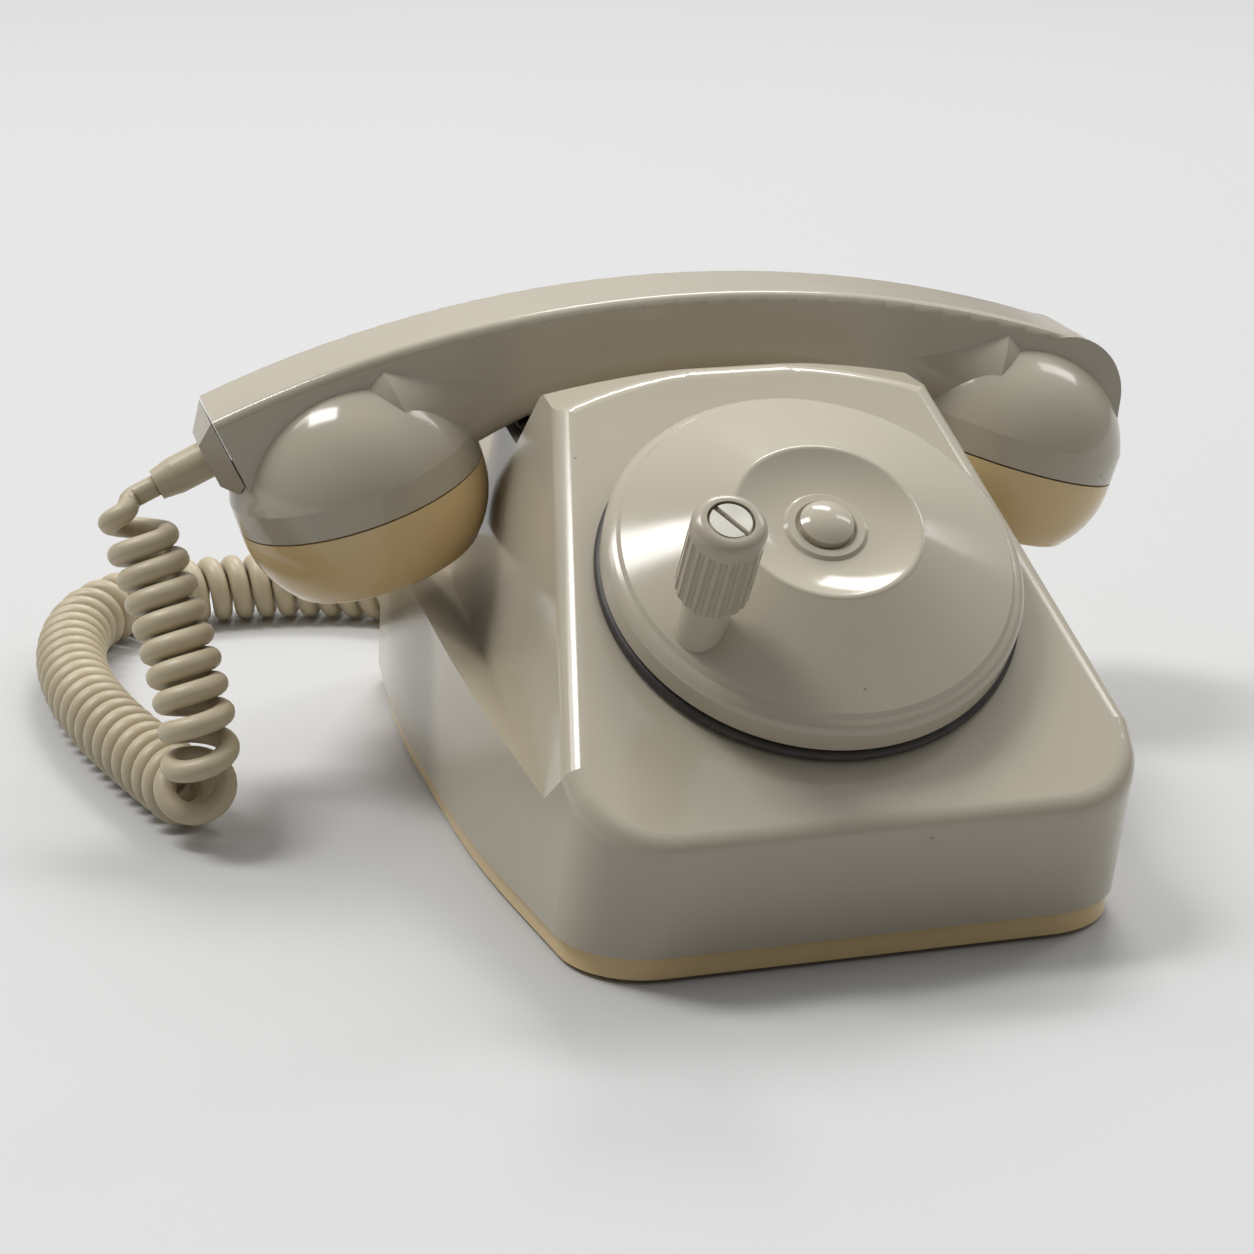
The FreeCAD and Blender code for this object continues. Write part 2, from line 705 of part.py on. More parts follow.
keep("frame_screws", group("frame_screw_set", frame_screws))
shoes = []
magnets = []
for sign in (-1, 1):
    start = 11.6 if sign > 0 else -17.8
    shoe = box("pole_shoe", 6.2, 22, 20, Vector(0, 0, 0))
    shoe.Placement = on_axis(distance, -50.5).multiply(Placement(Vector(start, -11, 0), Rotation()))
    shoes.append(shoe)
    start = 18.0 if sign > 0 else -24.0
    magnet = box("magnet", 6.0, 24, 37.8, Vector(0, 0, 0))
    magnet.Placement = on_axis(distance, -51.9).multiply(Placement(Vector(start, -11, 0), Rotation()))
    magnets.append(magnet)
keep("pole_shoes", group("pole_shoe_set", shoes))
keep("magnets", group("magnet_set", magnets))

# Ringer
gongs = []
gong_posts = []
gong_screws = []
gong_low = 20.0
for sign in (-1, 1):
    spot = Placement(Vector(sign * val(gong_x), val(gong_y), gong_low), Rotation())
    cup = [(gong_radius - gong_wall, Size(0, "0")), (gong_radius, Size(0, "0")), (Size(3.0, "3"), gong_radius * 0.62),
           (Size(2.05, "2.05"), gong_radius * 0.62), (Size(2.05, "2.05"), gong_radius * 0.62 - gong_wall),
           (Size(3.0, "3"), gong_radius * 0.62 - gong_wall)]
    gongs.append(turned("gong", cup, {1: gong_radius * 0.86, 5: -(gong_radius * 0.86 - gong_wall)}, place=spot))
    tall = gong_low + val(gong_radius) * 0.62 - val(gong_wall) - val(seam_height)
    gong_posts.append(cylinder("gong_post", 4.0, tall, Placement(
        Vector(sign * val(gong_x), val(gong_y), val(seam_height)), Rotation())))
    gong_screws.append(cylinder("gong_screw", 4.0, 2.0, Placement(
        Vector(sign * val(gong_x), val(gong_y), gong_low + val(gong_radius) * 0.62), Rotation())))
keep("bell_gongs", group("bell_gong_set", gongs))
keep("gong_posts", group("gong_post_set", gong_posts))
keep("gong_screws", group("gong_screw_set", gong_screws))
coils = []
cores = []
along_y = Rotation(Vector(1, 0, 0), -90)
for sign in (-1, 1):
    coils.append(cut("ringer_coil", cylinder("coil_drum", coil_radius, 22, Placement(
        Vector(sign * 11, 2, 21), along_y)), cylinder("coil_bore", 3.05, 30, Placement(
            Vector(sign * 11, 0, 21), along_y))))
    cores.append(cylinder("coil_core", 3.0, 26, Placement(Vector(sign * 11, -1, 21), along_y)))
keep("ringer_coils", group("ringer_coil_set", coils))
keep("ringer_cores", group("ringer_core_set", cores))
yoke = box("yoke_foot", 40, 4, 24, Vector(-20, -5.2, val(seam_height)))
keep("ringer_yoke", yoke)
pivot_y = 31.0
keep("clapper_post", cylinder("clapper_post_bar", 2.0, 26, Placement(
    Vector(0, pivot_y, val(seam_height)), Rotation())))
hub = cylinder("clapper_hub", 4.0, 5, Placement(Vector(0, pivot_y, 19), Rotation()))
arm = cylinder("clapper_arm", 1.0, 27, Placement(Vector(0, pivot_y, 21.5), along_y))
ball = doc.addObject("Part::Sphere", "clapper_ball")
ball.Radius = 2.8
ball.Placement = Placement(Vector(0, val(gong_y), 21.5), Rotation())
leaf = box("clapper_leaf", 34, 2, 4, Vector(-17, pivot_y - 4.2, 19.5))
clapper = fused("clapper_solid", [hub, arm, ball, leaf])
keep("clapper", cut("clapper_cut", clapper, cylinder("clapper_bore", 2.04, 20, Placement(
    Vector(0, pivot_y, 14), Rotation()))))

# Hook switch: two plungers joined by a bar, leaf contacts on a bracket
plungers = []
bar_low = 60.0
plunger_top = 91.8
for sign in (-1, 1):
    stem = [(0, Size(bar_low, "60")), (plunger_radius, Size(bar_low, "60")),
            (plunger_radius, Size(plunger_top - 1.5, "90.3")), (Size(0.8, "0.8"), Size(plunger_top, "91.8")),
            (0, Size(plunger_top, "91.8"))]
    plungers.append(turned("plunger", stem, {2: Size(6.1, "6.1")}, place=Placement(
        Vector(sign * val(plunger_x), val(handset_y), 0), Rotation())))
keep("hook_plungers", group("hook_plunger_set", plungers))
keep("hook_bar", box("hook_bar_blank", plunger_x * 2 + 12.0, 8, 3, Vector(-val(plunger_x) - 6, val(handset_y) - 4, 57)))
keep("contact_bracket", box("contact_bracket_blank", 20, 3, 28, Vector(-10, val(handset_y) + 14, 52)))
springs = []
for i in range(4):
    springs.append(box("contact_leaf", 3, 22, 0.5, Vector(-8.5 + 4.6 * i, val(handset_y) - 8, 53.5)))
keep("contact_springs", group("contact_spring_set", springs))
keep("contact_block", box("contact_block_blank", 20, 8, 1.4, Vector(-10, val(handset_y) + 6, 54.1)))
pads = []
for sign in (-1, 1):
    lean = math.degrees(math.asin(39.0 / val(grip_arc)))
    normal = Rotation(Vector(0, 1, 0), sign * lean)
    centre = Vector(sign * 39.0, val(handset_y), val(trough_floor))
    pad_block = box("cradle_pad", 9, 22, 9.6, centre + normal.multVec(Vector(-4.5, -11, -5.0)), normal)
    pads.append(common("cradle_pad_cut", [pad_block, box("pad_room", 60, 60, 20, Vector(
        sign * 39.0 - 30, val(handset_y) - 30, val(trough_floor)))]))
keep("cradle_pads", group("cradle_pad_set", pads))

# Parts on the base plate
keep("transformer_core", box("transformer_core_block", 20, 26, 18, Vector(-49, -66, val(seam_height))))
keep("transformer_coil", cut("transformer_coil_cut", box("transformer_coil_block", 24, 14, 24, Vector(
    -51, -60, val(seam_height))), box("transformer_window", 20, 30, 18, Vector(-49, -68, val(seam_height)))))
keep("capacitor", box("capacitor_can", 14, 26, 18, Vector(32, -66, val(seam_height))))
keep("terminal_strip", box("terminal_strip_block", 44, 10, 8, Vector(-22, -89, val(seam_height))))
terminals = []
for i in range(5):
    terminals.append(cylinder("terminal_screw", 2.6, 2.0, Placement(
        Vector(-17.6 + 8.8 * i, -84, val(seam_height) + 8), Rotation())))
keep("terminal_screws", group("terminal_screw_set", terminals))
for label, sign in (("cord_gland", -1), ("line_inlet", 1)):
    bush = [(wire_diameter / 2 + 0.2, Size(0, "0")), (gland_radius - 0.02, Size(0, "0")),
            (gland_radius - 0.02, Size(22, "22")), (gland_radius + 2.0, Size(22, "22")),
            (gland_radius + 2.0, Size(25, "25")), (wire_diameter / 2 + 0.2, Size(25, "25"))]
    keep(label, turned(label + "_bush", bush, place=Placement(
        Vector(sign * val(gland_x), 109, val(gland_z)), Rotation(Vector(1, 0, 0), 90))))

# Handset: handle with a flat top, two cups, caps and capsules
top_drop = val(handle_arc) - val(handle_top)


def top_at(x):
    return math.sqrt(val(handle_arc) ** 2 - x * x) - top_drop


seam_top = -117.7
corner_x = 97.0
underside = dim("handle_underside_height", 78.3)
outline = [
    (Size(-108.3, "-108.3"), Size(71.5, "71.5")),
    (Size(-60, "-60"), underside),
    (Size(60, "60"), underside),
    (Size(107.0, "107"), Size(63.0, "63")),
    (Size(109.0, "109"), Size(84.0, "84")),
    (Size(corner_x, str(corner_x)), handle_top - (val(handle_top) - top_at(corner_x))),
    (Size(seam_top, str(seam_top)), handle_top - (val(handle_top) - top_at(seam_top))),
]
handset_place = Placement(Vector(0, val(handset_y), 0), Rotation())
handle = padded("handset_handle", "XZ_Plane", outline, handle_width,
                {1: -grip_arc, 4: Size(15.5, "15.5"), 5: handle_arc}, midplane=True, place=handset_place)


def grip_edge(edge):
    mid = edge.CenterOfMass
    long = abs(edge.Vertexes[0].X - edge.Vertexes[-1].X) > 60
    return long and mid.z < 96 and abs(abs(mid.y) - val(handle_width) / 2) < 0.1 and abs(mid.x) < 5


def top_edge(edge):
    mid = edge.CenterOfMass
    long = abs(edge.Vertexes[0].X - edge.Vertexes[-1].X) > 100
    return long and mid.z > 98 and abs(abs(mid.y) - val(handle_width) / 2) < 0.1


rounded(handle, "handle_grip_edges", Size(7.0, "7"), grip_edge)
rounded(handle, "handle_top_edges", Size(2.4, "2.4"), top_edge)


def bell(spread):
    """Outline of a cup, or with spread of the room that a piece beside it leaves."""
    return [(0, Size(0, "0")), (0, Size(-28.4, "-28.4")), (spread + 10.0, Size(-28.4, "-28.4")),
            (cup_radius + spread, Size(-7, "-7")), (cup_radius + spread, Size(0, "0"))]


roof_corners = [
    (Size(-125, "-125"), Size(40, "40")),
    (Size(125, "125"), Size(40, "40")),
    (Size(125, "125"), handle_top - (val(handle_top) - top_at(125))),
    (Size(-125, "-125"), handle_top - (val(handle_top) - top_at(125))),
]
roof = padded("handset_roof", "XZ_Plane", roof_corners, 90, {2: handle_arc}, midplane=True, place=handset_place)
bell_arc = Size(30, "30")
sides = []
cup_frames = {}
cavities = []
for label, sign in (("left", -1), ("right", 1)):
    turn = Rotation(Vector(0, 1, 0), 180 + sign * val(cup_tilt))
    frame = Placement(Vector(sign * val(cup_x), val(handset_y), val(cup_z)), turn)
    cup_frames[label] = frame
    sides.append(turned("handset_cup_" + label, bell(Size(0, "0")), {2: bell_arc}, place=frame))
    throat_low = Vector(sign * 84, val(handset_y), 82)
    throat_high = Vector(sign * 51.4, val(handset_y), 97.2)
    reach = (throat_high - throat_low).Length
    throat = [(0, Size(0, "0")), (Size(14, "14"), Size(0, "0")), (Size(20, "20"), Size(14, "14")),
              (handle_width / 2, Size(reach, str(reach))), (0, Size(reach, str(reach)))]
    lean = Rotation(Vector(0, 0, 1), throat_high - throat_low)
    horn = turned("handset_throat_" + label, throat, {1: Size(40, "40"), 2: Size(-38.2, "-38.2")},
                  place=Placement(throat_low, lean))
    above = beyond("cup_rim_" + label, frame.Base, turn.multVec(Vector(0, 0, -1)))
    sides.append(common("handset_throat_part_" + label, [horn, roof, above]))
    cavities.append(turned("cup_cavity_" + label, [(0, Size(2, "2")), (0, Size(-15, "-15")),
                                                  (cup_radius - 4.0, Size(-15, "-15")),
                                                  (cup_radius - 4.0, Size(2, "2"))], place=frame))
handset = fused("handset_solid", [handle] + sides)
keep("handset_shell", cut("handset_cut", handset, fused("cup_cavities", cavities)))
face_depth = cap_depth - 2.6
for label, side in (("mouthpiece_cap", "left"), ("earpiece_cap", "right")):
    cap = [(cup_radius - 2.6, joint_gap), (cup_radius, joint_gap), (cup_radius, joint_gap + 2.6),
           (cup_radius - 6.0, cap_depth - 1.4), (cup_radius - 8.2, cap_depth), (0, cap_depth),
           (0, face_depth), (cup_radius - 9.4, face_depth), (cup_radius - 2.6, joint_gap + 2.6)]
    lid = turned(label + "_body", cap, {2: Size(24.0, "24"), 3: Size(2.4, "2.4")}, place=cup_frames[side])
    sieve = attach(lid, "XY_Plane", label + "_sieve", cap_depth - 4.0)
    sieve.addGeometry(Part.Circle(Vector(10, 0, 0), Vector(0, 0, 1), 1.5), False)
    sieve.addConstraint(Sketcher.Constraint("PointOnObject", 0, 3, -1))
    index = sieve.addConstraint(Sketcher.Constraint("DistanceX", -1, 1, 0, 3, 10))
    sieve.setExpression("Constraints[%d]" % index, (cup_radius * 0.35).text)
    sieve.addConstraint(Sketcher.Constraint("Radius", 0, 1.5))
    drill = lid.newObject("PartDesign::Pocket", label + "_drill")
    drill.Profile = sieve
    drill.Reversed = True
    drill.Length = 6
    doc.recompute()
    many = lid.newObject("PartDesign::PolarPattern", label + "_holes")
    many.Originals = [drill]
    many.Axis = (sieve, ["N_Axis"])
    many.Angle = 360
    many.Occurrences = 8
    lid.Tip = many
    keep(label, lid)
for label, side, thick in (("transmitter_capsule", "left", 18.0), ("receiver_capsule", "right", 20.0)):
    front = face_depth - 1.6
    capsule = [(0, front - thick), (cup_radius - 6.0, front - thick), (cup_radius - 6.0, front - 6.2),
               (cup_radius - 10.6, front), (0, front)]
    keep(label, turned(label + "_can", capsule, place=cup_frames[side]))
seam_low = Vector(-108.3, 0, 71.5)
seam_high = Vector(seam_top, 0, top_at(seam_top))
seam_out = Vector(-(seam_high.z - seam_low.z), 0, -(seam_low.x - seam_high.x))
seam_out.normalize()
seam_mid = (seam_low + seam_high) * 0.5 + Vector(0, val(handset_y), 0)
plug_turn = Rotation(Vector(0, 0, 1), seam_out)
plug_place = Placement(seam_mid + seam_out * val(joint_gap), plug_turn)
plug_depth = 5.0
sleeve_length = 13.0
square = [(Size(-10.5, "-10.5"), Size(-11, "-11")), (Size(10.5, "10.5"), Size(-11, "-11")),
          (Size(10.5, "10.5"), Size(11, "11")), (Size(-10.5, "-10.5"), Size(11, "11"))]
small = [(Size(-5.6, "-5.6"), Size(-6, "-6")), (Size(5.6, "5.6"), Size(-6, "-6")),
         (Size(5.6, "5.6"), Size(6, "6")), (Size(-5.6, "-5.6"), Size(6, "6"))]
plug = lofted("cord_plug_body", square, small, Size(0, "0"), Size(plug_depth, "5"), place=plug_place)
plug_room = turned("cord_plug_room", bell(joint_gap), {2: bell_arc}, place=cup_frames["left"])
keep("cord_plug", cut("cord_plug_cut", plug, plug_room))
sleeve_place = Placement(seam_mid + seam_out * (val(joint_gap) + plug_depth), plug_turn)
sleeve = [(0, Size(0, "0")), (sleeve_radius, Size(0, "0")), (sleeve_radius, Size(8.0, "8")),
          (sleeve_radius - 0.8, Size(sleeve_length, "13")), (0, Size(sleeve_length, "13"))]
keep("cord_sleeve", turned("cord_sleeve_body", sleeve, place=sleeve_place))

# Curly cord: one tube of tangent arcs wound about a hanging and then lying route
start = sleeve_place.Base + seam_out * sleeve_length
finish = Vector(-val(gland_x), 109.0, val(gland_z))
lying = val(curl_radius) + val(wire_diameter) / 2 + 0.5
straight = val(wire_diameter) + 0.6
route_points = [
    start + seam_out * straight,
    start + seam_out * (straight + 3.0),
    Vector(-138.6, 39.0, 67.0), Vector(-138.3, 35.6, 58.6), Vector(-135.6, 29.2, 49.0), Vector(-132.4, 20.4, 39.8),
    Vector(-129.8, 11.6, 31.4), Vector(-128.4, 5.6, 23), Vector(-128.4, 5.9, 14.8), Vector(-129.8, 11.4, 10.6),
    Vector(-132.4, 19.2, lying), Vector(-138.4, 35.5, lying), Vector(-144.6, 57.5, lying),
    Vector(-148.8, 84, lying), Vector(-148.0, 113, lying), Vector(-140, 136, lying), Vector(-122, 148.5, lying),
    Vector(-98, 150, lying), Vector(-77, 147, lying), Vector(-59, 140, lying),
    Vector(-46.5, 130, lying + 1.6), Vector(-41.2, 122, lying + 3.4),
    finish + Vector(0, straight + 3.0, 0), finish + Vector(0, straight, 0),
]

path = Part.BSplineCurve()
path.interpolate(route_points)
total = path.length()
steps = 1600
spots = []
for i in range(steps + 1):
    spots.append(path.value(path.parameterAtDistance(total * i / steps, path.FirstParameter)))
spots[0] = Vector(route_points[0])
spots[-1] = Vector(route_points[-1])
tangents = []
for i in range(steps + 1):
    ahead = spots[min(i + 1, steps)] - spots[max(i - 1, 0)]
    tangents.append(ahead.normalize())
normal = tangents[0].cross(Vector(0, 1, 0)).normalize()
normals = [normal]
for i in range(1, steps + 1):
    normal = normals[-1] - tangents[i] * normals[-1].dot(tangents[i])
    normals.append(normal.normalize())
piece_length = total / steps


def smooth(x):
    x = min(max(x, 0.0), 1.0)
    return x * x * (3 - 2 * x)


def growth(run):
    return smooth(run / 20.0) * smooth((total - run) / 20.0)


phases = [0.0]
for i in range(steps):
    bend = (tangents[min(i + 4, steps)] - tangents[max(i - 4, 0)]).Length / (8 * piece_length)
    pitch = val(curl_pitch) / max(1.0 - 1.4 * val(curl_radius) * bend, 0.36)
    pitch = pitch * (1.0 + 3.4 * (1.0 - growth(i * piece_length)))
    phases.append(phases[-1] + 2 * math.pi * piece_length / pitch)
turns = math.floor(phases[-1] / (2 * math.pi)) + 0.5
stretch = turns * 2 * math.pi / phases[-1]


def wound(place):
    """Point of the curl at a place along the route, counted in route steps."""
    i = min(int(place), steps - 1)
    part = place - i
    spot = spots[i] * (1 - part) + spots[i + 1] * part
    across = (normals[i] * (1 - part) + normals[i + 1] * part).normalize()
    along = tangents[i] * (1 - part) + tangents[i + 1] * part
    other = along.normalize().cross(across)
    phase = (phases[i] * (1 - part) + phases[i + 1] * part) * stretch
    run = place * piece_length
    radius = val(curl_radius) * growth(run)
    return spot + across * (radius * math.cos(phase)) + other * (radius * math.sin(phase))


knots = []
count = int(turns * 4)
place = 0.0
index = 0
for k in range(count + 1):
    goal = phases[-1] * k / count
    while index < steps - 1 and phases[index + 1] < goal:
        index += 1
    place = index + (goal - phases[index]) / max(phases[index + 1] - phases[index], 1e-9)
    knots.append(min(place, steps))
corners = [wound(place) for place in knots]
headings = []
for place in knots:
    low = max(place - 0.25, 0.0)
    high = min(place + 0.25, float(steps))
    headings.append((wound(high) - wound(low)).normalize())
headings[0] = Vector(seam_out)
headings[-1] = Vector(0, -1, 0)


def bent(a, from_a, b, into_b, edges, radii):
    """Two arcs that leave a along from_a and reach b along into_b."""
    chord = b - a
    both = from_a + into_b
    down = 2 * (1 - from_a.dot(into_b))
    if abs(down) < 1e-9:
        edges.append(Part.LineSegment(a, b).toShape())
        return
    mixed = chord.dot(both)
    reach = (-mixed + math.sqrt(mixed * mixed + down * chord.dot(chord))) / down
    joint = (a + b + (from_a - into_b) * reach) * 0.5
    for p, heading, q in ((a, from_a, joint), (joint, None, b)):
        line = q - p
        if heading is None:
            heading = (b - into_b * reach - joint).normalize()
        sine = heading.cross(line).Length
        if sine < 1e-7 * line.Length:
            edges.append(Part.LineSegment(p, q).toShape())
            continue
        inward = (line - heading * line.dot(heading)).normalize()
        radius = line.dot(line) / (2 * line.dot(inward))
        centre = p + inward * radius
        bulge = ((p + q) * 0.5 - centre).normalize()
        edges.append(Part.Arc(p, centre + bulge * radius, q).toShape())
        radii.append(radius)


cord_edges = [Part.LineSegment(start, start + seam_out * straight).toShape()]
cord_radii = []
for k in range(count):
    bent(corners[k], headings[k], corners[k + 1], headings[k + 1], cord_edges, cord_radii)
cord_edges.append(Part.LineSegment(finish + Vector(0, straight, 0), finish).toShape())
cord_wire = Part.Wire(cord_edges)
section = Part.Wire([Part.makeCircle(val(wire_diameter) / 2, start, seam_out)])
cord = doc.addObject("Part::Feature", "curly_cord_tube")
cord.Shape = cord_wire.makePipeShell([section], True, False)
keep("curly_cord", cord)
doc.recompute()

for thing in doc.Objects:
    if "Invalid" in thing.State or "Error" in thing.State:
        raise RuntimeError("failed: %s %s" % (thing.Name, thing.State))
os.makedirs("parts", exist_ok=True)
for label, thing in made.items():
    shape = thing.Shape
    if not shape.isValid() or not shape.Solids:
        raise RuntimeError("bad shape: " + label)
    shape.exportStep("parts/%s.step" % label)
    limits = shape.BoundBox
    print("%-20s solids %2d faces %4d vol %10.1f  x %7.1f %7.1f y %7.1f %7.1f z %6.1f %6.1f" % (
        label, len(shape.Solids), len(shape.Faces), shape.Volume, limits.XMin, limits.XMax,
        limits.YMin, limits.YMax, limits.ZMin, limits.ZMax))
trail = cord_wire.discretize(Distance=1.0)
least = 99.0
nearest = None
for i in range(0, len(trail)):
    for j in range(i + 12, len(trail)):
        apart = (trail[i] - trail[j]).Length
        if apart < least:
            least = apart
            nearest = trail[i]
print("cord turns", turns, "arcs", len(cord_edges), "tightest", min(cord_radii))
print("cord gap to itself", least - val(wire_diameter), "at", nearest)
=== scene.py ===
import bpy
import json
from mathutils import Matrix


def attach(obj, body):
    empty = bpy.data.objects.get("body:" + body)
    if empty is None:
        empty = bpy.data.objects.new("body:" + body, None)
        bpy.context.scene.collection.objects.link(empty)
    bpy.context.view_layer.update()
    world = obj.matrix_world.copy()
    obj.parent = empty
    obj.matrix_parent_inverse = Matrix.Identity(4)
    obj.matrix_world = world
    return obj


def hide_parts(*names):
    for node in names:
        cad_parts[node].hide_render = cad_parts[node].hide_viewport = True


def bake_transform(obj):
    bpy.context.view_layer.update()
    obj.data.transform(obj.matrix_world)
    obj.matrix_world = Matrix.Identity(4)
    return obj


bl_info = {
    "name": "Crank desk telephone",
    "version": (1, 0, 0),
    "blender": (4, 5, 0),
    "location": "View3D > Sidebar > Telephone",
    "description": "Finishes, curly cord and studio for a desk telephone with a hand crank",
    "category": "Object",
}

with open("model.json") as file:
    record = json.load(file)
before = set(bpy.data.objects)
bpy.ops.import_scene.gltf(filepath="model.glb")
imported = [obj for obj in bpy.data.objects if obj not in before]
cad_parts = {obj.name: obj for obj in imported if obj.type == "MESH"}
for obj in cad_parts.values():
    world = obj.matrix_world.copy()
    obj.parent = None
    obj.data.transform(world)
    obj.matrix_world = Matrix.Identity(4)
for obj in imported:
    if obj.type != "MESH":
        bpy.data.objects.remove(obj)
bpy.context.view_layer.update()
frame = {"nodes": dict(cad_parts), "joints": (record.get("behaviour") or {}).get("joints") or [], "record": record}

import json
import math

import bpy
import numpy as np
from bpy.props import FloatProperty, FloatVectorProperty, IntProperty, PointerProperty, StringProperty
from mathutils import Matrix, Vector

MM = 0.001
FULL_TURN = 2 * math.pi

# The crank's axis and the middle of its disc's underside, from the frame, in metres
CRANK = next(joint for joint in frame["joints"] if joint["name"] == "crank_turn")
CRANK_AXIS = np.array(CRANK["axis"])
DISC_ORIGIN = np.array(CRANK["pos_m"])

# The gasket round the disc: how far the disc's underside stands above the panel, and the section's corners
DISC_LIFT = 3.7 * MM
GASKET_SIDES = 16


# Settings
class CordSettings(bpy.types.PropertyGroup):
    wire_diameter: FloatProperty(
        name="Wire diameter", description="Thickness of the sheathed wire",
        default=5.2 * MM, unit="LENGTH")
    curl_radius: FloatProperty(
        name="Curl radius", description="From the curls' axis to the middle of the wire",
        default=6.5 * MM, unit="LENGTH")
    curl_pitch: FloatProperty(
        name="Curl pitch", description="From one turn to the next on a straight stretch",
        default=5.8 * MM, unit="LENGTH")
    end_run: FloatProperty(
        name="End run", description="Length over which the curls grow from the straight ends",
        default=9 * MM, unit="LENGTH")
    lean_run: FloatProperty(
        name="Lean run", description="Length over which the rings turn into a bend",
        default=36 * MM, unit="LENGTH")
    hang_height: FloatProperty(
        name="Hang height", description="Height above the lying cord over which rings begin to hang level",
        default=15 * MM, unit="LENGTH")
    sides: IntProperty(
        name="Sides", description="Flat sides round the wire", default=16, min=8)
    steps_per_turn: IntProperty(
        name="Steps per turn", description="Places along one turn of the curls", default=28, min=12)


class TrimSettings(bpy.types.PropertyGroup):
    outer_radius: FloatProperty(
        name="Gasket outer radius", description="From the crank's axis to the gasket's outer edge",
        default=46.9 * MM, unit="LENGTH")
    inner_radius: FloatProperty(
        name="Gasket inner radius", description="From the crank's axis to the gasket's inner edge",
        default=44.0 * MM, unit="LENGTH")
    height: FloatProperty(
        name="Gasket height", description="Height of the gasket above the panel",
        default=2.9 * MM, unit="LENGTH")
    steps: IntProperty(
        name="Gasket steps", description="Steps round the gasket", default=180, min=48)


class FinishSettings(bpy.types.PropertyGroup):
    grey: StringProperty(
        name="Housing grey", description="sRGB colour of the housing, disc and handset", default="#BFB6A3")
    knob_grey: StringProperty(
        name="Knob grey", description="sRGB colour of the knob and the cord's plug", default="#B7AD9A")
    cream: StringProperty(
        name="Cream", description="sRGB colour of the cream mouldings", default="#E6C994")
    cord: StringProperty(
        name="Cord", description="sRGB colour of the cord's sheath", default="#C8BA9D")
    dark: StringProperty(
        name="Ring", description="sRGB colour of the dark ring and gasket", default="#38322F")
    gloss: FloatProperty(
        name="Plastic roughness", description="Roughness of the glossy mouldings",
        default=0.13, min=0.05, max=0.9, subtype="FACTOR")


class StudioSettings(bpy.types.PropertyGroup):
    lens: FloatProperty(
        name="Lens", description="Focal length", default=80.11, unit="CAMERA")
    azimuth: FloatProperty(
        name="Azimuth", description="Turn of the camera about the vertical, from straight ahead",
        default=math.radians(-15.32), subtype="ANGLE")
    elevation: FloatProperty(
        name="Elevation", description="Angle of the camera above the floor",
        default=math.radians(19.86), subtype="ANGLE")
    roll: FloatProperty(
        name="Roll", description="Turn of the camera about its line of sight",
        default=math.radians(0.57), subtype="ANGLE")
    distance: FloatProperty(
        name="Distance", description="From the target to the camera", default=0.6542, unit="LENGTH")
    target: FloatVectorProperty(
        name="Target", description="Point in the middle of the picture",
        default=(-0.0260, 0.0, 0.0438), subtype="XYZ", unit="LENGTH")
    floor: StringProperty(
        name="Floor", description="sRGB colour of the paper floor", default="#CDCDCC")


class TelephoneSettings(bpy.types.PropertyGroup):
    cord: PointerProperty(name="Cord", description="Sizes of the curly cord", type=CordSettings)
    trim: PointerProperty(name="Trim", description="Sizes of the disc's gasket", type=TrimSettings)
    finish: PointerProperty(name="Finish", description="Colours and gloss", type=FinishSettings)
    studio: PointerProperty(name="Studio", description="Camera and floor", type=StudioSettings)


# Nodes
# The sockets that a Mix node uses for colours: three inputs and one output
MIX_FACTOR, MIX_FIRST, MIX_SECOND = 0, 6, 7
MIX_RESULT = 2


def fill(tree, node, sockets):
    """Fill a node's inputs: another node's output is linked, and any other value is set."""
    for key, value in sockets.items():
        if isinstance(value, bpy.types.NodeSocket):
            tree.links.new(value, node.inputs[key])
        else:
            node.inputs[key].default_value = value


def add_node(tree, kind, sockets=None, **settings):
    """Add a node of this kind with its settings and its filled inputs."""
    node = tree.nodes.new(kind)
    for key, value in settings.items():
        setattr(node, key, value)
    fill(tree, node, sockets or {})
    return node


# Materials
def linear(text):
    """Linear colour of an sRGB hex value: a straight line near black and a power above it, as sRGB has."""
    channels = []
    for i in (1, 3, 5):
        part = int(text[i:i + 2], 16) / 255
        channels.append(part / 12.92 if part <= 0.04045 else ((part + 0.055) / 1.055) ** 2.4)
    return (*channels, 1.0)


def shaded(colour, amount):
    """The colour with each channel times this amount."""
    return tuple(part * amount for part in colour[:3]) + (1.0,)


def cells(millimetres):
    """Scale of a pattern whose cells are this wide: the number of them in a metre."""
    return 1000 / millimetres


def new_material(name):
    """An empty material with its node tree, its shader and the piece's Object coordinates."""
    material = bpy.data.materials.new(name)
    material.use_nodes = True
    tree = material.node_tree
    place = add_node(tree, "ShaderNodeTexCoord").outputs["Object"]
    return material, tree, tree.nodes["Principled BSDF"], place


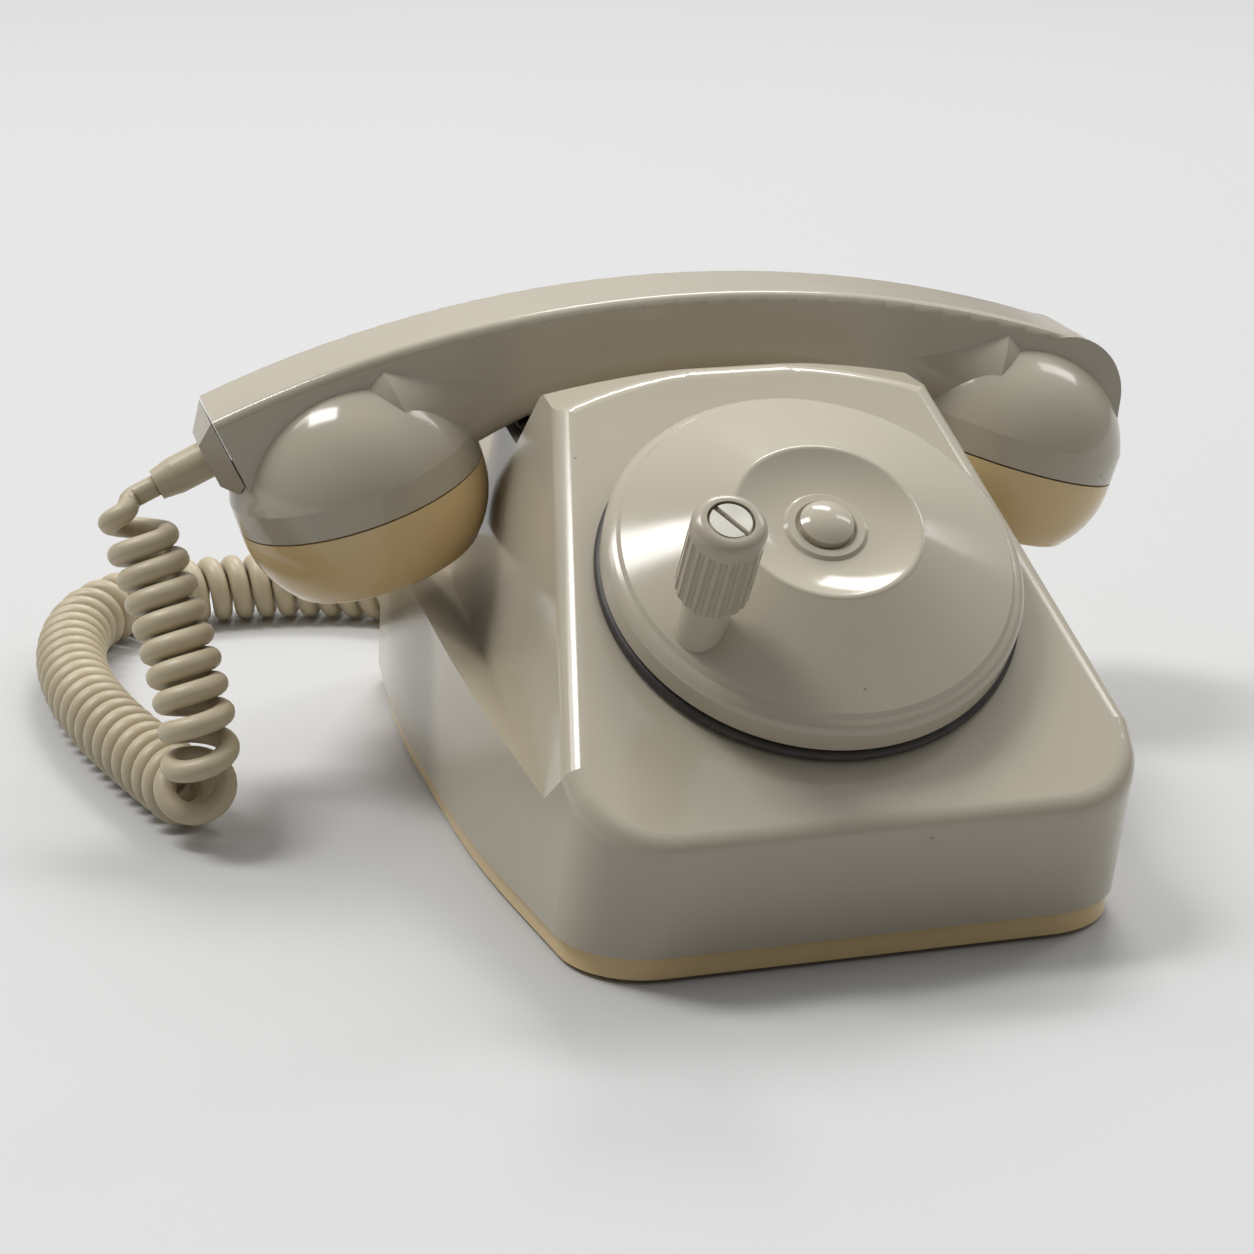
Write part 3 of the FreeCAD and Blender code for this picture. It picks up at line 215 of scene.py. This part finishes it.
def moulded_plastic(name, text, roughness, speck_strength):
    """Glossy moulded ABS, whose own IOR is close to the default.

    The eye sees an even colour with faint clouds 71 mm wide, a few dark specks under a millimetre wide,
    clear reflections that handling has dulled in patches, and a slight waviness from the mould.
    """
    material, tree, shader, place = new_material(name)
    colour = linear(text)

    cloud = add_node(tree, "ShaderNodeTexNoise", {
        "Vector": place, "Scale": cells(71.43), "Detail": 3.0, "Roughness": 0.55})
    cloud_share = add_node(tree, "ShaderNodeMapRange", {
        "Value": cloud.outputs["Fac"], "From Min": 0.3, "From Max": 0.7})
    clouded = add_node(tree, "ShaderNodeMix", {
        MIX_FACTOR: cloud_share.outputs["Result"],
        MIX_FIRST: shaded(colour, 0.96), MIX_SECOND: shaded(colour, 1.03)}, data_type="RGBA")

    # Each cell holds one speck, dark out to its core and faded at its edge, in millimetres from its middle.
    # Only the patches where the noise is high show theirs
    speck_cell = 7.692
    speck_core, speck_edge = 0.269, 0.4615
    speck = add_node(tree, "ShaderNodeTexVoronoi", {"Vector": place, "Scale": cells(speck_cell)})
    speck_dot = add_node(tree, "ShaderNodeMapRange", {
        "Value": speck.outputs["Distance"], "From Min": speck_core / speck_cell,
        "From Max": speck_edge / speck_cell, "To Min": speck_strength, "To Max": 0.0})
    patch = add_node(tree, "ShaderNodeTexNoise", {
        "Vector": place, "Scale": cells(27.03), "Detail": 1.0, "Roughness": 0.55})
    patch_share = add_node(tree, "ShaderNodeMapRange", {
        "Value": patch.outputs["Fac"], "From Min": 0.62, "From Max": 0.66})
    specks = add_node(tree, "ShaderNodeMath", {
        0: patch_share.outputs["Result"], 1: speck_dot.outputs["Result"]}, operation="MULTIPLY")
    specked = add_node(tree, "ShaderNodeMix", {
        MIX_FACTOR: specks.outputs[0],
        MIX_FIRST: clouded.outputs[MIX_RESULT], MIX_SECOND: shaded(colour, 0.3)}, data_type="RGBA")

    handling = add_node(tree, "ShaderNodeTexNoise", {
        "Vector": place, "Scale": cells(33.33), "Detail": 4.0, "Roughness": 0.6})
    dulled = add_node(tree, "ShaderNodeMapRange", {
        "Value": handling.outputs["Fac"], "From Min": 0.35, "From Max": 0.7,
        "To Min": roughness - 0.02, "To Max": roughness + 0.05})
    wave = add_node(tree, "ShaderNodeTexNoise", {
        "Vector": place, "Scale": cells(8.333), "Detail": 1.0, "Roughness": 0.55})
    waviness = add_node(tree, "ShaderNodeBump", {
        "Height": wave.outputs["Fac"], "Strength": 0.03, "Distance": 0.4 * MM})
    fill(tree, shader, {
        "Base Color": specked.outputs[MIX_RESULT], "Roughness": dulled.outputs["Result"],
        "Normal": waviness.outputs["Normal"]})
    return material


def cord_vinyl(name, text):
    """Extruded soft vinyl, whose own IOR is close to the default.

    The eye sees a satin sheath with stains about 26 mm wide from handling. The extruder's grain is far finer
    than a picture shows, so it is drawn as coarse as 1.1 mm.
    """
    material, tree, shader, place = new_material(name)
    colour = linear(text)
    stain = add_node(tree, "ShaderNodeTexNoise", {
        "Vector": place, "Scale": cells(26.32), "Detail": 4.0, "Roughness": 0.55})
    stain_share = add_node(tree, "ShaderNodeMapRange", {
        "Value": stain.outputs["Fac"], "From Min": 0.35, "From Max": 0.7})
    stained = add_node(tree, "ShaderNodeMix", {
        MIX_FACTOR: stain_share.outputs["Result"],
        MIX_FIRST: shaded(colour, 0.9), MIX_SECOND: shaded(colour, 1.04)}, data_type="RGBA")
    rub = add_node(tree, "ShaderNodeTexNoise", {
        "Vector": place, "Scale": cells(8.333), "Detail": 3.0, "Roughness": 0.55})
    rubbed = add_node(tree, "ShaderNodeMapRange", {
        "Value": rub.outputs["Fac"], "To Min": 0.32, "To Max": 0.48})
    grain = add_node(tree, "ShaderNodeTexNoise", {
        "Vector": place, "Scale": cells(1.111), "Detail": 2.0, "Roughness": 0.55})
    grained = add_node(tree, "ShaderNodeBump", {
        "Height": grain.outputs["Fac"], "Strength": 0.12, "Distance": 0.3 * MM})
    fill(tree, shader, {
        "Base Color": stained.outputs[MIX_RESULT], "Roughness": rubbed.outputs["Result"],
        "Normal": grained.outputs["Normal"]})
    return material


def dark_moulding(name, text):
    """Moulded phenolic or rubber, with the default IOR.

    The eye sees a dull dark surface with paler dust in spots about 6 mm wide. The moulding's own grain is
    drawn as coarse as 1.4 mm, because its true size wouldn't show.
    """
    material, tree, shader, place = new_material(name)
    colour = linear(text)
    dust = add_node(tree, "ShaderNodeTexNoise", {
        "Vector": place, "Scale": cells(6.25), "Detail": 4.0, "Roughness": 0.55})
    dust_share = add_node(tree, "ShaderNodeMapRange", {
        "Value": dust.outputs["Fac"], "From Min": 0.5, "From Max": 0.75, "To Max": 0.5})
    dusty = add_node(tree, "ShaderNodeMix", {
        MIX_FACTOR: dust_share.outputs["Result"],
        MIX_FIRST: colour, MIX_SECOND: shaded(colour, 2.2)}, data_type="RGBA")
    rub = add_node(tree, "ShaderNodeTexNoise", {
        "Vector": place, "Scale": cells(11.11), "Detail": 3.0, "Roughness": 0.55})
    rubbed = add_node(tree, "ShaderNodeMapRange", {
        "Value": rub.outputs["Fac"], "To Min": 0.4, "To Max": 0.6})
    grain = add_node(tree, "ShaderNodeTexNoise", {
        "Vector": place, "Scale": cells(1.4286), "Detail": 3.0, "Roughness": 0.55})
    grained = add_node(tree, "ShaderNodeBump", {
        "Height": grain.outputs["Fac"], "Strength": 0.1, "Distance": 0.3 * MM})
    fill(tree, shader, {
        "Base Color": dusty.outputs[MIX_RESULT], "Roughness": rubbed.outputs["Result"],
        "Normal": grained.outputs["Normal"]})
    return material


def metal(name, text, roughness, patch):
    """Plated, turned or drawn metal, with the default IOR.

    The eye sees sharp or satin reflections in patches of this many millimetres, broader spots of tarnish, and
    marks of the tool. The marks are drawn a quarter as wide as the patches, because real ones wouldn't show.
    """
    material, tree, shader, place = new_material(name)
    colour = linear(text)
    tarnish_width = patch / 0.3
    mark_width = patch / 4
    tarnish = add_node(tree, "ShaderNodeTexNoise", {
        "Vector": place, "Scale": cells(tarnish_width), "Detail": 4.0, "Roughness": 0.55})
    tarnish_share = add_node(tree, "ShaderNodeMapRange", {
        "Value": tarnish.outputs["Fac"], "From Min": 0.35, "From Max": 0.75})
    tarnished = add_node(tree, "ShaderNodeMix", {
        MIX_FACTOR: tarnish_share.outputs["Result"],
        MIX_FIRST: colour, MIX_SECOND: shaded(colour, 0.7)}, data_type="RGBA")
    rub = add_node(tree, "ShaderNodeTexNoise", {
        "Vector": place, "Scale": cells(patch), "Detail": 4.0, "Roughness": 0.55})
    rubbed = add_node(tree, "ShaderNodeMapRange", {
        "Value": rub.outputs["Fac"], "To Min": roughness, "To Max": roughness + 0.14})
    mark = add_node(tree, "ShaderNodeTexNoise", {
        "Vector": place, "Scale": cells(mark_width), "Detail": 2.0, "Roughness": 0.55})
    marked = add_node(tree, "ShaderNodeBump", {
        "Height": mark.outputs["Fac"], "Strength": 0.08, "Distance": 0.2 * MM})
    fill(tree, shader, {
        "Base Color": tarnished.outputs[MIX_RESULT], "Metallic": 1.0,
        "Roughness": rubbed.outputs["Result"], "Normal": marked.outputs["Normal"]})
    return material


def winding(name, text):
    """Enamelled copper wire in close turns, with the default IOR.

    The eye sees brown bands, with painted shade dark in the grooves between one turn and the next. A wave
    texture has 20 radians to a unit of its scale, so its scale is a full turn over 20, over the spacing of the
    wires.
    """
    material, tree, shader, place = new_material(name)
    colour = linear(text)
    wave_radians = 20
    wire_spacing = 0.4833 * MM
    turns = add_node(tree, "ShaderNodeTexWave", {
        "Vector": place, "Scale": FULL_TURN / wave_radians / wire_spacing, "Distortion": 0.4},
        bands_direction="Y")
    # Painted shade: the colour is halved between one turn and the next, where the grooves between the wires fall
    # in shade
    painted_groove_shade = add_node(tree, "ShaderNodeMix", {
        MIX_FACTOR: turns.outputs["Fac"],
        MIX_FIRST: shaded(colour, 0.5), MIX_SECOND: colour}, data_type="RGBA")
    rub = add_node(tree, "ShaderNodeTexNoise", {
        "Vector": place, "Scale": cells(12.5), "Detail": 3.0, "Roughness": 0.55})
    rubbed = add_node(tree, "ShaderNodeMapRange", {
        "Value": rub.outputs["Fac"], "To Min": 0.3, "To Max": 0.45})
    rounded = add_node(tree, "ShaderNodeBump", {
        "Height": turns.outputs["Fac"], "Strength": 0.4, "Distance": 0.2 * MM})
    fill(tree, shader, {
        "Base Color": painted_groove_shade.outputs[MIX_RESULT], "Metallic": 0.6,
        "Roughness": rubbed.outputs["Result"], "Normal": rounded.outputs["Normal"]})
    return material


def floor_paper(name, text):
    """Smooth matt studio paper with clouds a third of a metre wide.

    The camera and reflections see its own colour. Other rays see a darker one, so that the paper throws less
    light up at the telephone.
    """
    material, tree, shader, place = new_material(name)
    colour = linear(text)
    cloud = add_node(tree, "ShaderNodeTexNoise", {
        "Vector": place, "Scale": cells(333.3), "Detail": 3.0, "Roughness": 0.55})
    clouded = add_node(tree, "ShaderNodeMix", {
        MIX_FACTOR: cloud.outputs["Fac"],
        MIX_FIRST: shaded(colour, 0.985), MIX_SECOND: colour}, data_type="RGBA")
    path = add_node(tree, "ShaderNodeLightPath")
    seen = add_node(tree, "ShaderNodeMath", {
        0: path.outputs["Is Camera Ray"], 1: path.outputs["Is Glossy Ray"]}, operation="ADD")
    paper = add_node(tree, "ShaderNodeMix", {
        MIX_FACTOR: seen.outputs[0],
        MIX_FIRST: shaded(colour, 0.8), MIX_SECOND: clouded.outputs[MIX_RESULT]}, data_type="RGBA")
    fill(tree, shader, {
        "Base Color": paper.outputs[MIX_RESULT], "Roughness": 0.6, "Specular IOR Level": 0.25})
    return material


# Meshes
def grid_mesh(name, points, around=True, loop=False, capped=False):
    """A smooth surface over rows by columns of points, closed across, closed along or capped as asked.

    A face joins a point, the next in its row, that one's neighbour in the next row, and the point below.
    """
    rows, columns = points.shape[:2]
    index = np.arange(rows * columns).reshape(rows, columns)
    if around:
        index = np.concatenate([index, index[:, :1]], axis=1)
    if loop:
        index = np.concatenate([index, index[:1]], axis=0)
    faces = np.stack([index[:-1, :-1], index[:-1, 1:], index[1:, 1:], index[1:, :-1]], axis=-1)
    faces = faces.reshape(-1, 4).tolist()
    if capped:
        faces += [index[0, columns - 1::-1].tolist(), index[-1, :columns].tolist()]
    mesh = bpy.data.meshes.new(name)
    mesh.from_pydata(points.reshape(-1, 3).tolist(), [], faces)
    mesh.polygons.foreach_set("use_smooth", np.ones(len(mesh.polygons), dtype=bool))
    mesh.update()
    return mesh


def add_object(name, data, material=None):
    """A new object in the scene, with its material if it has one."""
    thing = bpy.data.objects.new(name, data)
    bpy.context.scene.collection.objects.link(thing)
    if material:
        data.materials.append(material)
    return thing


def unit(rows):
    """Each row over its own length."""
    return rows / np.linalg.norm(rows, axis=-1, keepdims=True)


def smooth_step(values):
    """From 0 to 1 with level ends: three times the square less twice the cube."""
    values = np.clip(values, 0.0, 1.0)
    return values * values * (3 - 2 * values)


def read_off(places, known, rows):
    """Rows at these places, each column in proportion between the known places on either side."""
    return np.stack([np.interp(places, known, column) for column in rows.T], axis=1)


# Curly cord
# The ends, in metres: the wire leaves the sleeve on the handset, and enters the gland at the rear, straight
CORD_START = Vector((-0.12972, 0.040, 0.07404))
CORD_OUT = Vector((-0.90858, 0.0, -0.41770))
CORD_END = Vector((-0.040, 0.109, 0.014))
GLAND_OUT = Vector((0.0, 1.0, 0.0))
STRAIGHT_RUN = 5.6 * MM
SLEEVE_CORNER = 8.0 * MM
GLAND_CORNER = 8.6 * MM

# Height of the curls' axis where they lie on the floor, and the heights by which they rise to the gland
LYING = 9.5 * MM
FIRST_RISE = 1.6 * MM
SECOND_RISE = 3.4 * MM

# The route's points: down from the sleeve, round on the floor, and along it to the gland
ROUTE = [
    CORD_START,
    CORD_START + CORD_OUT * STRAIGHT_RUN,
    CORD_START + CORD_OUT * SLEEVE_CORNER,
    (-0.1360, 0.0382, 0.0666), (-0.1334, 0.0338, 0.0600), (-0.1312, 0.0266, 0.0520),
    (-0.1294, 0.0180, 0.0442), (-0.1280, 0.0084, 0.0370), (-0.1270, -0.0008, 0.0294),
    (-0.1270, -0.0046, 0.0190), (-0.1284, 0.0024, 0.0104), (-0.1320, 0.0160, LYING),
    (-0.1384, 0.0355, LYING), (-0.1446, 0.0575, LYING), (-0.1488, 0.0840, LYING),
    (-0.1480, 0.1130, LYING), (-0.1400, 0.1360, LYING), (-0.1220, 0.1485, LYING),
    (-0.0980, 0.1500, LYING), (-0.0770, 0.1470, LYING), (-0.0590, 0.1400, LYING),
    (-0.0465, 0.1300, LYING + FIRST_RISE), (-0.0412, 0.1220, LYING + SECOND_RISE),
    CORD_END + GLAND_OUT * GLAND_CORNER,
    CORD_END + GLAND_OUT * STRAIGHT_RUN,
    CORD_END,
]
# The spline's order and its points for each span, and the places along it where the rings are worked out
SPLINE_ORDER = 3
SPLINE_RESOLUTION = 32
ROUTE_PLACES = 1600

# How strongly hanging rings turn level, beside a weight of 1 for the route's own direction
HANG_WEIGHT = 1.2
DOWN = np.array((0.0, 0.0, -1.0))
# The direction that the first ring's normal stands square to
FIRST_SIDE = (0.0, 1.0, 0.0)

# The straight wire at each end, beyond one diameter, and the places along it
END_EXTRA = 0.6 * MM
END_PLACES = 6
# How much of a pitch is added where the curls haven't grown, and the least share of it left by a bend
END_STRETCH = 2.0
LEAST_ADVANCE = 0.3


def route_line(points):
    """Points along a NURBS spline that has the route's points as its control points."""
    curve = bpy.data.curves.new("cord_route", "CURVE")
    curve.dimensions = "3D"
    spline = curve.splines.new("NURBS")
    spline.points.add(len(points) - 1)
    spline.points.foreach_set("co", [value for point in points for value in (*point, 1.0)])
    spline.order_u = SPLINE_ORDER
    spline.use_endpoint_u = True
    spline.resolution_u = SPLINE_RESOLUTION
    carrier = add_object("cord_route", curve)
    mesh = bpy.data.meshes.new_from_object(carrier)
    line = np.empty(len(mesh.vertices) * 3)
    mesh.vertices.foreach_get("co", line)
    bpy.data.objects.remove(carrier)
    bpy.data.meshes.remove(mesh)
    bpy.data.curves.remove(curve)
    return line.reshape(-1, 3)


def steady_normals(tangents):
    """Directions across a line that turn with it and don't twist about it.

    Each is the one before it less its part along the line, made a unit long, so they follow in turn.
    """
    normals = np.empty_like(tangents)
    normals[0] = unit(np.cross(tangents[0], FIRST_SIDE))
    for i in range(1, len(tangents)):
        carried = normals[i - 1] - tangents[i] * np.dot(normals[i - 1], tangents[i])
        normals[i] = unit(carried)
    return normals


def eased(directions, reach):
    """Directions averaged over so many places each way, with a raised cosine as their weights."""
    weights = np.hanning(2 * reach + 3)[1:-1]
    padded = np.pad(directions, ((reach, reach), (0, 0)), mode="edge")
    return unit(np.stack([np.convolve(column, weights, "valid") for column in padded.T], axis=1))


def curls(settings):
    """Centre line of the curly cord and the direction from its axis at each point.

    A point is the route's point plus the curls' radius times (normal x cos phase + other x sin phase). The
    normal and the other direction lie in the ring's plane, and the phase gains a full turn over each pitch.
    """
    line = route_line(ROUTE)
    runs = np.concatenate([[0.0], np.cumsum(np.linalg.norm(np.diff(line, axis=0), axis=1))])
    total = runs[-1]
    places = np.linspace(0.0, total, ROUTE_PLACES)
    step = places[1]
    spots = read_off(places, runs, line)
    tangents = unit(np.gradient(spots, axis=0))

    # The ring's axis: the route's direction, drawn down where the first half of the cord hangs, then eased
    # so that the rings turn early into a bend
    hang = smooth_step((spots[:, 2:] - LYING) / settings.hang_height) * (places[:, None] < total / 2)
    axes = eased(unit(tangents + HANG_WEIGHT * hang * DOWN), int(settings.lean_run / step / 2))
    normals = steady_normals(axes)
    others = np.cross(axes, normals)

    # The curls' growth: none along the straight ends, then a smooth step to all
    straight = settings.wire_diameter + END_EXTRA
    grow = smooth_step((places - straight) / settings.end_run)
    grow = grow * smooth_step((total - straight - places) / settings.end_run)

    # The pitch along the route: longer by what a leaning ring or a bend's inner side takes from it
    bend = np.linalg.norm(np.gradient(axes, axis=0), axis=1) / step
    advance = np.sum(axes * tangents, axis=1) - settings.curl_radius * bend
    pitch = settings.curl_pitch / np.clip(advance, LEAST_ADVANCE, 1.0)
    pitch = pitch * (1.0 + END_STRETCH * (1.0 - grow))
    phase = np.concatenate([[0.0], np.cumsum(FULL_TURN * step / pitch[:-1])])

    # The places of the wire's rings: even in phase, with a few even in length along each straight end
    count = int(phase[-1] / FULL_TURN * settings.steps_per_turn)
    curled = np.interp(np.linspace(0.0, phase[-1], count), phase, places)
    curled = curled[(curled > straight + step) & (curled < total - straight - step)]
    end = np.linspace(0.0, straight, END_PLACES)
    fine = np.concatenate([end, curled, total - end[::-1]])

    angle = np.interp(fine, places, phase)[:, None]
    radius = settings.curl_radius * np.interp(fine, places, grow)[:, None]
    normal = unit(read_off(fine, places, normals))
    other = unit(read_off(fine, places, others))
    outward = normal * np.cos(angle) + other * np.sin(angle)
    return read_off(fine, places, spots) + outward * radius, outward


def tube(centre, outward, diameter, sides):
    """Rings of points round a centre line.

    A point is the centre plus half the diameter times (across x cos angle + other x sin angle), where across
    is the outward direction less its part along the line.
    """
    tangents = unit(np.gradient(centre, axis=0))
    across = unit(outward - tangents * np.sum(outward * tangents, axis=1, keepdims=True))
    other = np.cross(tangents, across)
    angle = np.linspace(0.0, FULL_TURN, sides, endpoint=False)[None, :, None]
    ring = across[:, None, :] * np.cos(angle) + other[:, None, :] * np.sin(angle)
    return centre[:, None, :] + ring * (diameter / 2)


# Dial gasket
def gasket_rings(trim):
    """Rings of points round the crank's axis, one for each corner of the gasket's oval section.

    A point is the disc's middle plus radius x (side x cos turn + other x sin turn) plus height x axis. Round
    the section the radius goes by the cosine between its two limits, and the height by the sine.
    """
    angle = np.linspace(0.0, FULL_TURN, GASKET_SIDES, endpoint=False)[:, None, None]
    half_width = (trim.outer_radius - trim.inner_radius) / 2
    radius = trim.inner_radius + half_width + half_width * np.cos(angle)
    height = trim.height * (0.5 + 0.5 * np.sin(angle)) - DISC_LIFT
    turn = np.linspace(0.0, FULL_TURN, trim.steps, endpoint=False)[:, None]
    side = np.array((1.0, 0.0, 0.0))
    other = np.cross(CRANK_AXIS, side)
    spoke = side * np.cos(turn) + other * np.sin(turn)
    return DISC_ORIGIN + radius * spoke + height * CRANK_AXIS


# Studio
# Half the floor's width in metres, the camera's sensor width in millimetres and its far limit in metres
FLOOR_HALF = 3.0
SENSOR_WIDTH = 36.0
CLIP_END = 20.0

# Room light: its colour, its strength at the horizon and overhead, the level direction that it is brightest
# from, and what its strength is multiplied by on the dark side and on the bright one
ROOM_COLOUR = (0.98, 0.99, 1.0, 1.0)
ROOM_LOW, ROOM_HIGH = 0.10, 0.92
BRIGHT_FROM = (0.45, 0.89, 0.0)
DARK_SIDE, BRIGHT_SIDE = 0.08, 1.5

# Softboxes: place, the point that it faces, width and height, all in metres, and its power in watts
SOFTBOXES = {
    "key_softbox": ((-1.15, 0.45, 2.45), (0.0, -0.02, 0.06), (0.6, 0.9), 30.0),
    "back_softbox": ((0.75, 1.75, 2.60), (0.0, 0.0, 0.06), (1.2, 0.7), 33.0),
    "right_softbox": ((1.9, 0.5, 1.9), (0.0, 0.0, 0.06), (0.4, 1.2), 8.0),
    "left_softbox": ((-1.7, 0.9, 1.9), (0.0, 0.0, 0.06), (0.4, 0.9), 7.0),
}


def room_light():
    """A world whose strength is a share from the height times a share from the side.

    The side's share follows the direction's dot product with the bright one, which runs from -1 to 1.
    """
    world = bpy.data.worlds.new("studio_light")
    world.use_nodes = True
    tree = world.node_tree
    place = add_node(tree, "ShaderNodeTexCoord").outputs["Generated"]
    parts = add_node(tree, "ShaderNodeSeparateXYZ", {"Vector": place})
    height = add_node(tree, "ShaderNodeMapRange", {
        "Value": parts.outputs["Z"], "To Min": ROOM_LOW, "To Max": ROOM_HIGH})
    facing = add_node(tree, "ShaderNodeVectorMath", {0: place, 1: BRIGHT_FROM}, operation="DOT_PRODUCT")
    side = add_node(tree, "ShaderNodeMapRange", {
        "Value": facing.outputs["Value"], "From Min": -1.0, "To Min": DARK_SIDE, "To Max": BRIGHT_SIDE})
    strength = add_node(tree, "ShaderNodeMath", {
        0: height.outputs["Result"], 1: side.outputs["Result"]}, operation="MULTIPLY")
    fill(tree, tree.nodes["Background"], {"Color": ROOM_COLOUR, "Strength": strength.outputs[0]})
    return world


def softbox(name, place, target, size, power):
    """A rectangular light at its place, turned to face its target."""
    data = bpy.data.lights.new(name, "AREA")
    data.shape = "RECTANGLE"
    data.size, data.size_y = size
    data.energy = power
    lamp = add_object(name, data)
    lamp.location = place
    lamp.rotation_euler = (Vector(target) - Vector(place)).to_track_quat("-Z", "Y").to_euler()


def photo_camera(studio):
    """A camera at the target plus its distance times the direction back from it.

    Azimuth and elevation give that direction, as longitude and latitude do. The picture's right and up
    directions are level and square to it, and the roll then turns both about it.
    """
    level = math.cos(studio.elevation)
    back = Vector((math.sin(studio.azimuth) * level, -math.cos(studio.azimuth) * level,
                   math.sin(studio.elevation)))
    right = Vector((math.cos(studio.azimuth), math.sin(studio.azimuth), 0.0))
    up = back.cross(right)
    turned_right = right * math.cos(studio.roll) + up * math.sin(studio.roll)
    turned_up = up * math.cos(studio.roll) - right * math.sin(studio.roll)
    data = bpy.data.cameras.new("photo_camera")
    data.sensor_fit = "HORIZONTAL"
    data.sensor_width = SENSOR_WIDTH
    data.lens = studio.lens
    data.clip_end = CLIP_END
    camera = add_object("photo_camera", data)
    place = Vector(studio.target) + back * studio.distance
    turn = Matrix((turned_right, turned_up, back)).transposed()
    camera.matrix_world = Matrix.Translation(place) @ turn.to_4x4()
    return camera


# Operators
class TELEPHONE_OT_finishes(bpy.types.Operator):
    """Give every CAD piece its material."""
    bl_idname = "telephone.finishes"
    bl_label = "Finishes"

    def execute(self, context):
        finish = context.scene.telephone.finish
        gloss = finish.gloss
        grey = moulded_plastic("grey_moulded_plastic", finish.grey, gloss, speck_strength=0.6)
        # The knob is duller, from fingers
        knob = moulded_plastic("knob_moulded_plastic", finish.knob_grey, gloss + 0.1, speck_strength=0.6)
        # Dark specks stand out more on cream, so they are fainter there
        cream = moulded_plastic("cream_moulded_plastic", finish.cream, gloss, speck_strength=0.35)
        vinyl = cord_vinyl("satin_cord_vinyl", finish.cord)
        dark = dark_moulding("dark_phenolic", finish.dark)
        rubber = dark_moulding("moulded_black_rubber", "#1C1B1A")
        # Polished and plated: bright and slightly warm, with clear reflections
        nickel = metal("nickel_plate", "#EDE8DC", roughness=0.16, patch=3.333)
        # Dull plating: cool grey and satin
        steel = metal("zinc_plated_steel", "#B4B5B8", roughness=0.3, patch=4.545)
        # Turned and left bare: yellow, between clear and satin
        brass = metal("turned_brass", "#C9A566", roughness=0.25, patch=3.846)
        # Oiled and blackened: dark, with broad dull reflections
        iron = metal("blackened_iron", "#4C4A48", roughness=0.45, patch=5.556)
        # Drawn into a can: pale and satin
        can = metal("drawn_aluminium", "#C9CACB", roughness=0.35, patch=5.0)
        copper = winding("enamelled_copper_wire", "#8A4A26")
        by_slot = {
            "grey_plastic": grey, "cream_plastic": cream, "knob_plastic": knob, "plug_plastic": knob,
            "dark_plastic": dark, "cord_vinyl": vinyl, "black_rubber": rubber, "nickel": nickel,
            "steel": steel, "gong_steel": nickel, "brass": brass, "iron": iron,
            "copper_wire": copper, "aluminium_can": can,
        }
        for piece in frame["record"]["subparts"]:
            mesh = frame["nodes"][piece["node"]].data
            mesh.materials.clear()
            mesh.materials.append(by_slot[piece["material_slot"]])
        return {"FINISHED"}


class TELEPHONE_OT_cord(bpy.types.Operator):
    """Wind the curly cord from the handset to the housing."""
    bl_idname = "telephone.cord"
    bl_label = "Curly cord"

    def execute(self, context):
        settings = context.scene.telephone.cord
        centre, outward = curls(settings)
        points = tube(centre, outward, settings.wire_diameter, settings.sides)
        cord = add_object("curly_cord_wire", grid_mesh("curly_cord_wire", points, capped=True),
                          bpy.data.materials["satin_cord_vinyl"])
        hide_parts("curly_cord")
        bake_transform(cord)
        return {"FINISHED"}


class TELEPHONE_OT_dial_trim(bpy.types.Operator):
    """Lay the dark gasket that shows round the crank disc's rim."""
    bl_idname = "telephone.dial_trim"
    bl_label = "Dial trim"

    def execute(self, context):
        points = gasket_rings(context.scene.telephone.trim)
        gasket = add_object("dial_gasket", grid_mesh("dial_gasket", points, loop=True),
                            bpy.data.materials["dark_phenolic"])
        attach(gasket, "base")
        return {"FINISHED"}


class TELEPHONE_OT_studio(bpy.types.Operator):
    """Floor, lights and the camera at the photograph's angle."""
    bl_idname = "telephone.studio"
    bl_label = "Studio"

    def execute(self, context):
        scene = context.scene
        studio = scene.telephone.studio
        scene.view_settings.view_transform = "Standard"
        across = np.linspace(-FLOOR_HALF, FLOOR_HALF, 2)
        corners = np.stack([*np.meshgrid(across, across), np.zeros((2, 2))], axis=-1)
        floor = add_object("floor", grid_mesh("floor", corners, around=False),
                           floor_paper("studio_paper", studio.floor))
        scene.world = room_light()
        for name, (place, target, size, power) in SOFTBOXES.items():
            softbox(name, place, target, size, power)
        scene.camera = photo_camera(studio)
        return {"FINISHED"}


class TELEPHONE_PT_panel(bpy.types.Panel):
    bl_idname = "TELEPHONE_PT_panel"
    bl_label = "Telephone"
    bl_space_type = "VIEW_3D"
    bl_region_type = "UI"
    bl_category = "Telephone"

    def draw(self, context):
        settings = context.scene.telephone
        for part in (settings.cord, settings.trim, settings.finish, settings.studio):
            for key in part.bl_rna.properties.keys():
                if key not in ("rna_type", "name"):
                    self.layout.prop(part, key)
        for operator in OPERATORS:
            self.layout.operator(operator.bl_idname)


OPERATORS = (TELEPHONE_OT_finishes, TELEPHONE_OT_cord, TELEPHONE_OT_dial_trim, TELEPHONE_OT_studio)
CLASSES = (CordSettings, TrimSettings, FinishSettings, StudioSettings, TelephoneSettings, *OPERATORS,
           TELEPHONE_PT_panel)


def register():
    for one in CLASSES:
        bpy.utils.register_class(one)
    bpy.types.Scene.telephone = PointerProperty(
        name="Telephone", description="Settings of the telephone", type=TelephoneSettings)


def unregister():
    del bpy.types.Scene.telephone
    for one in reversed(CLASSES):
        bpy.utils.unregister_class(one)


def main():
    register()
    bpy.ops.telephone.finishes()
    bpy.ops.telephone.cord()
    bpy.ops.telephone.dial_trim()
    bpy.ops.telephone.studio()


if __name__ == "__main__":
    main()
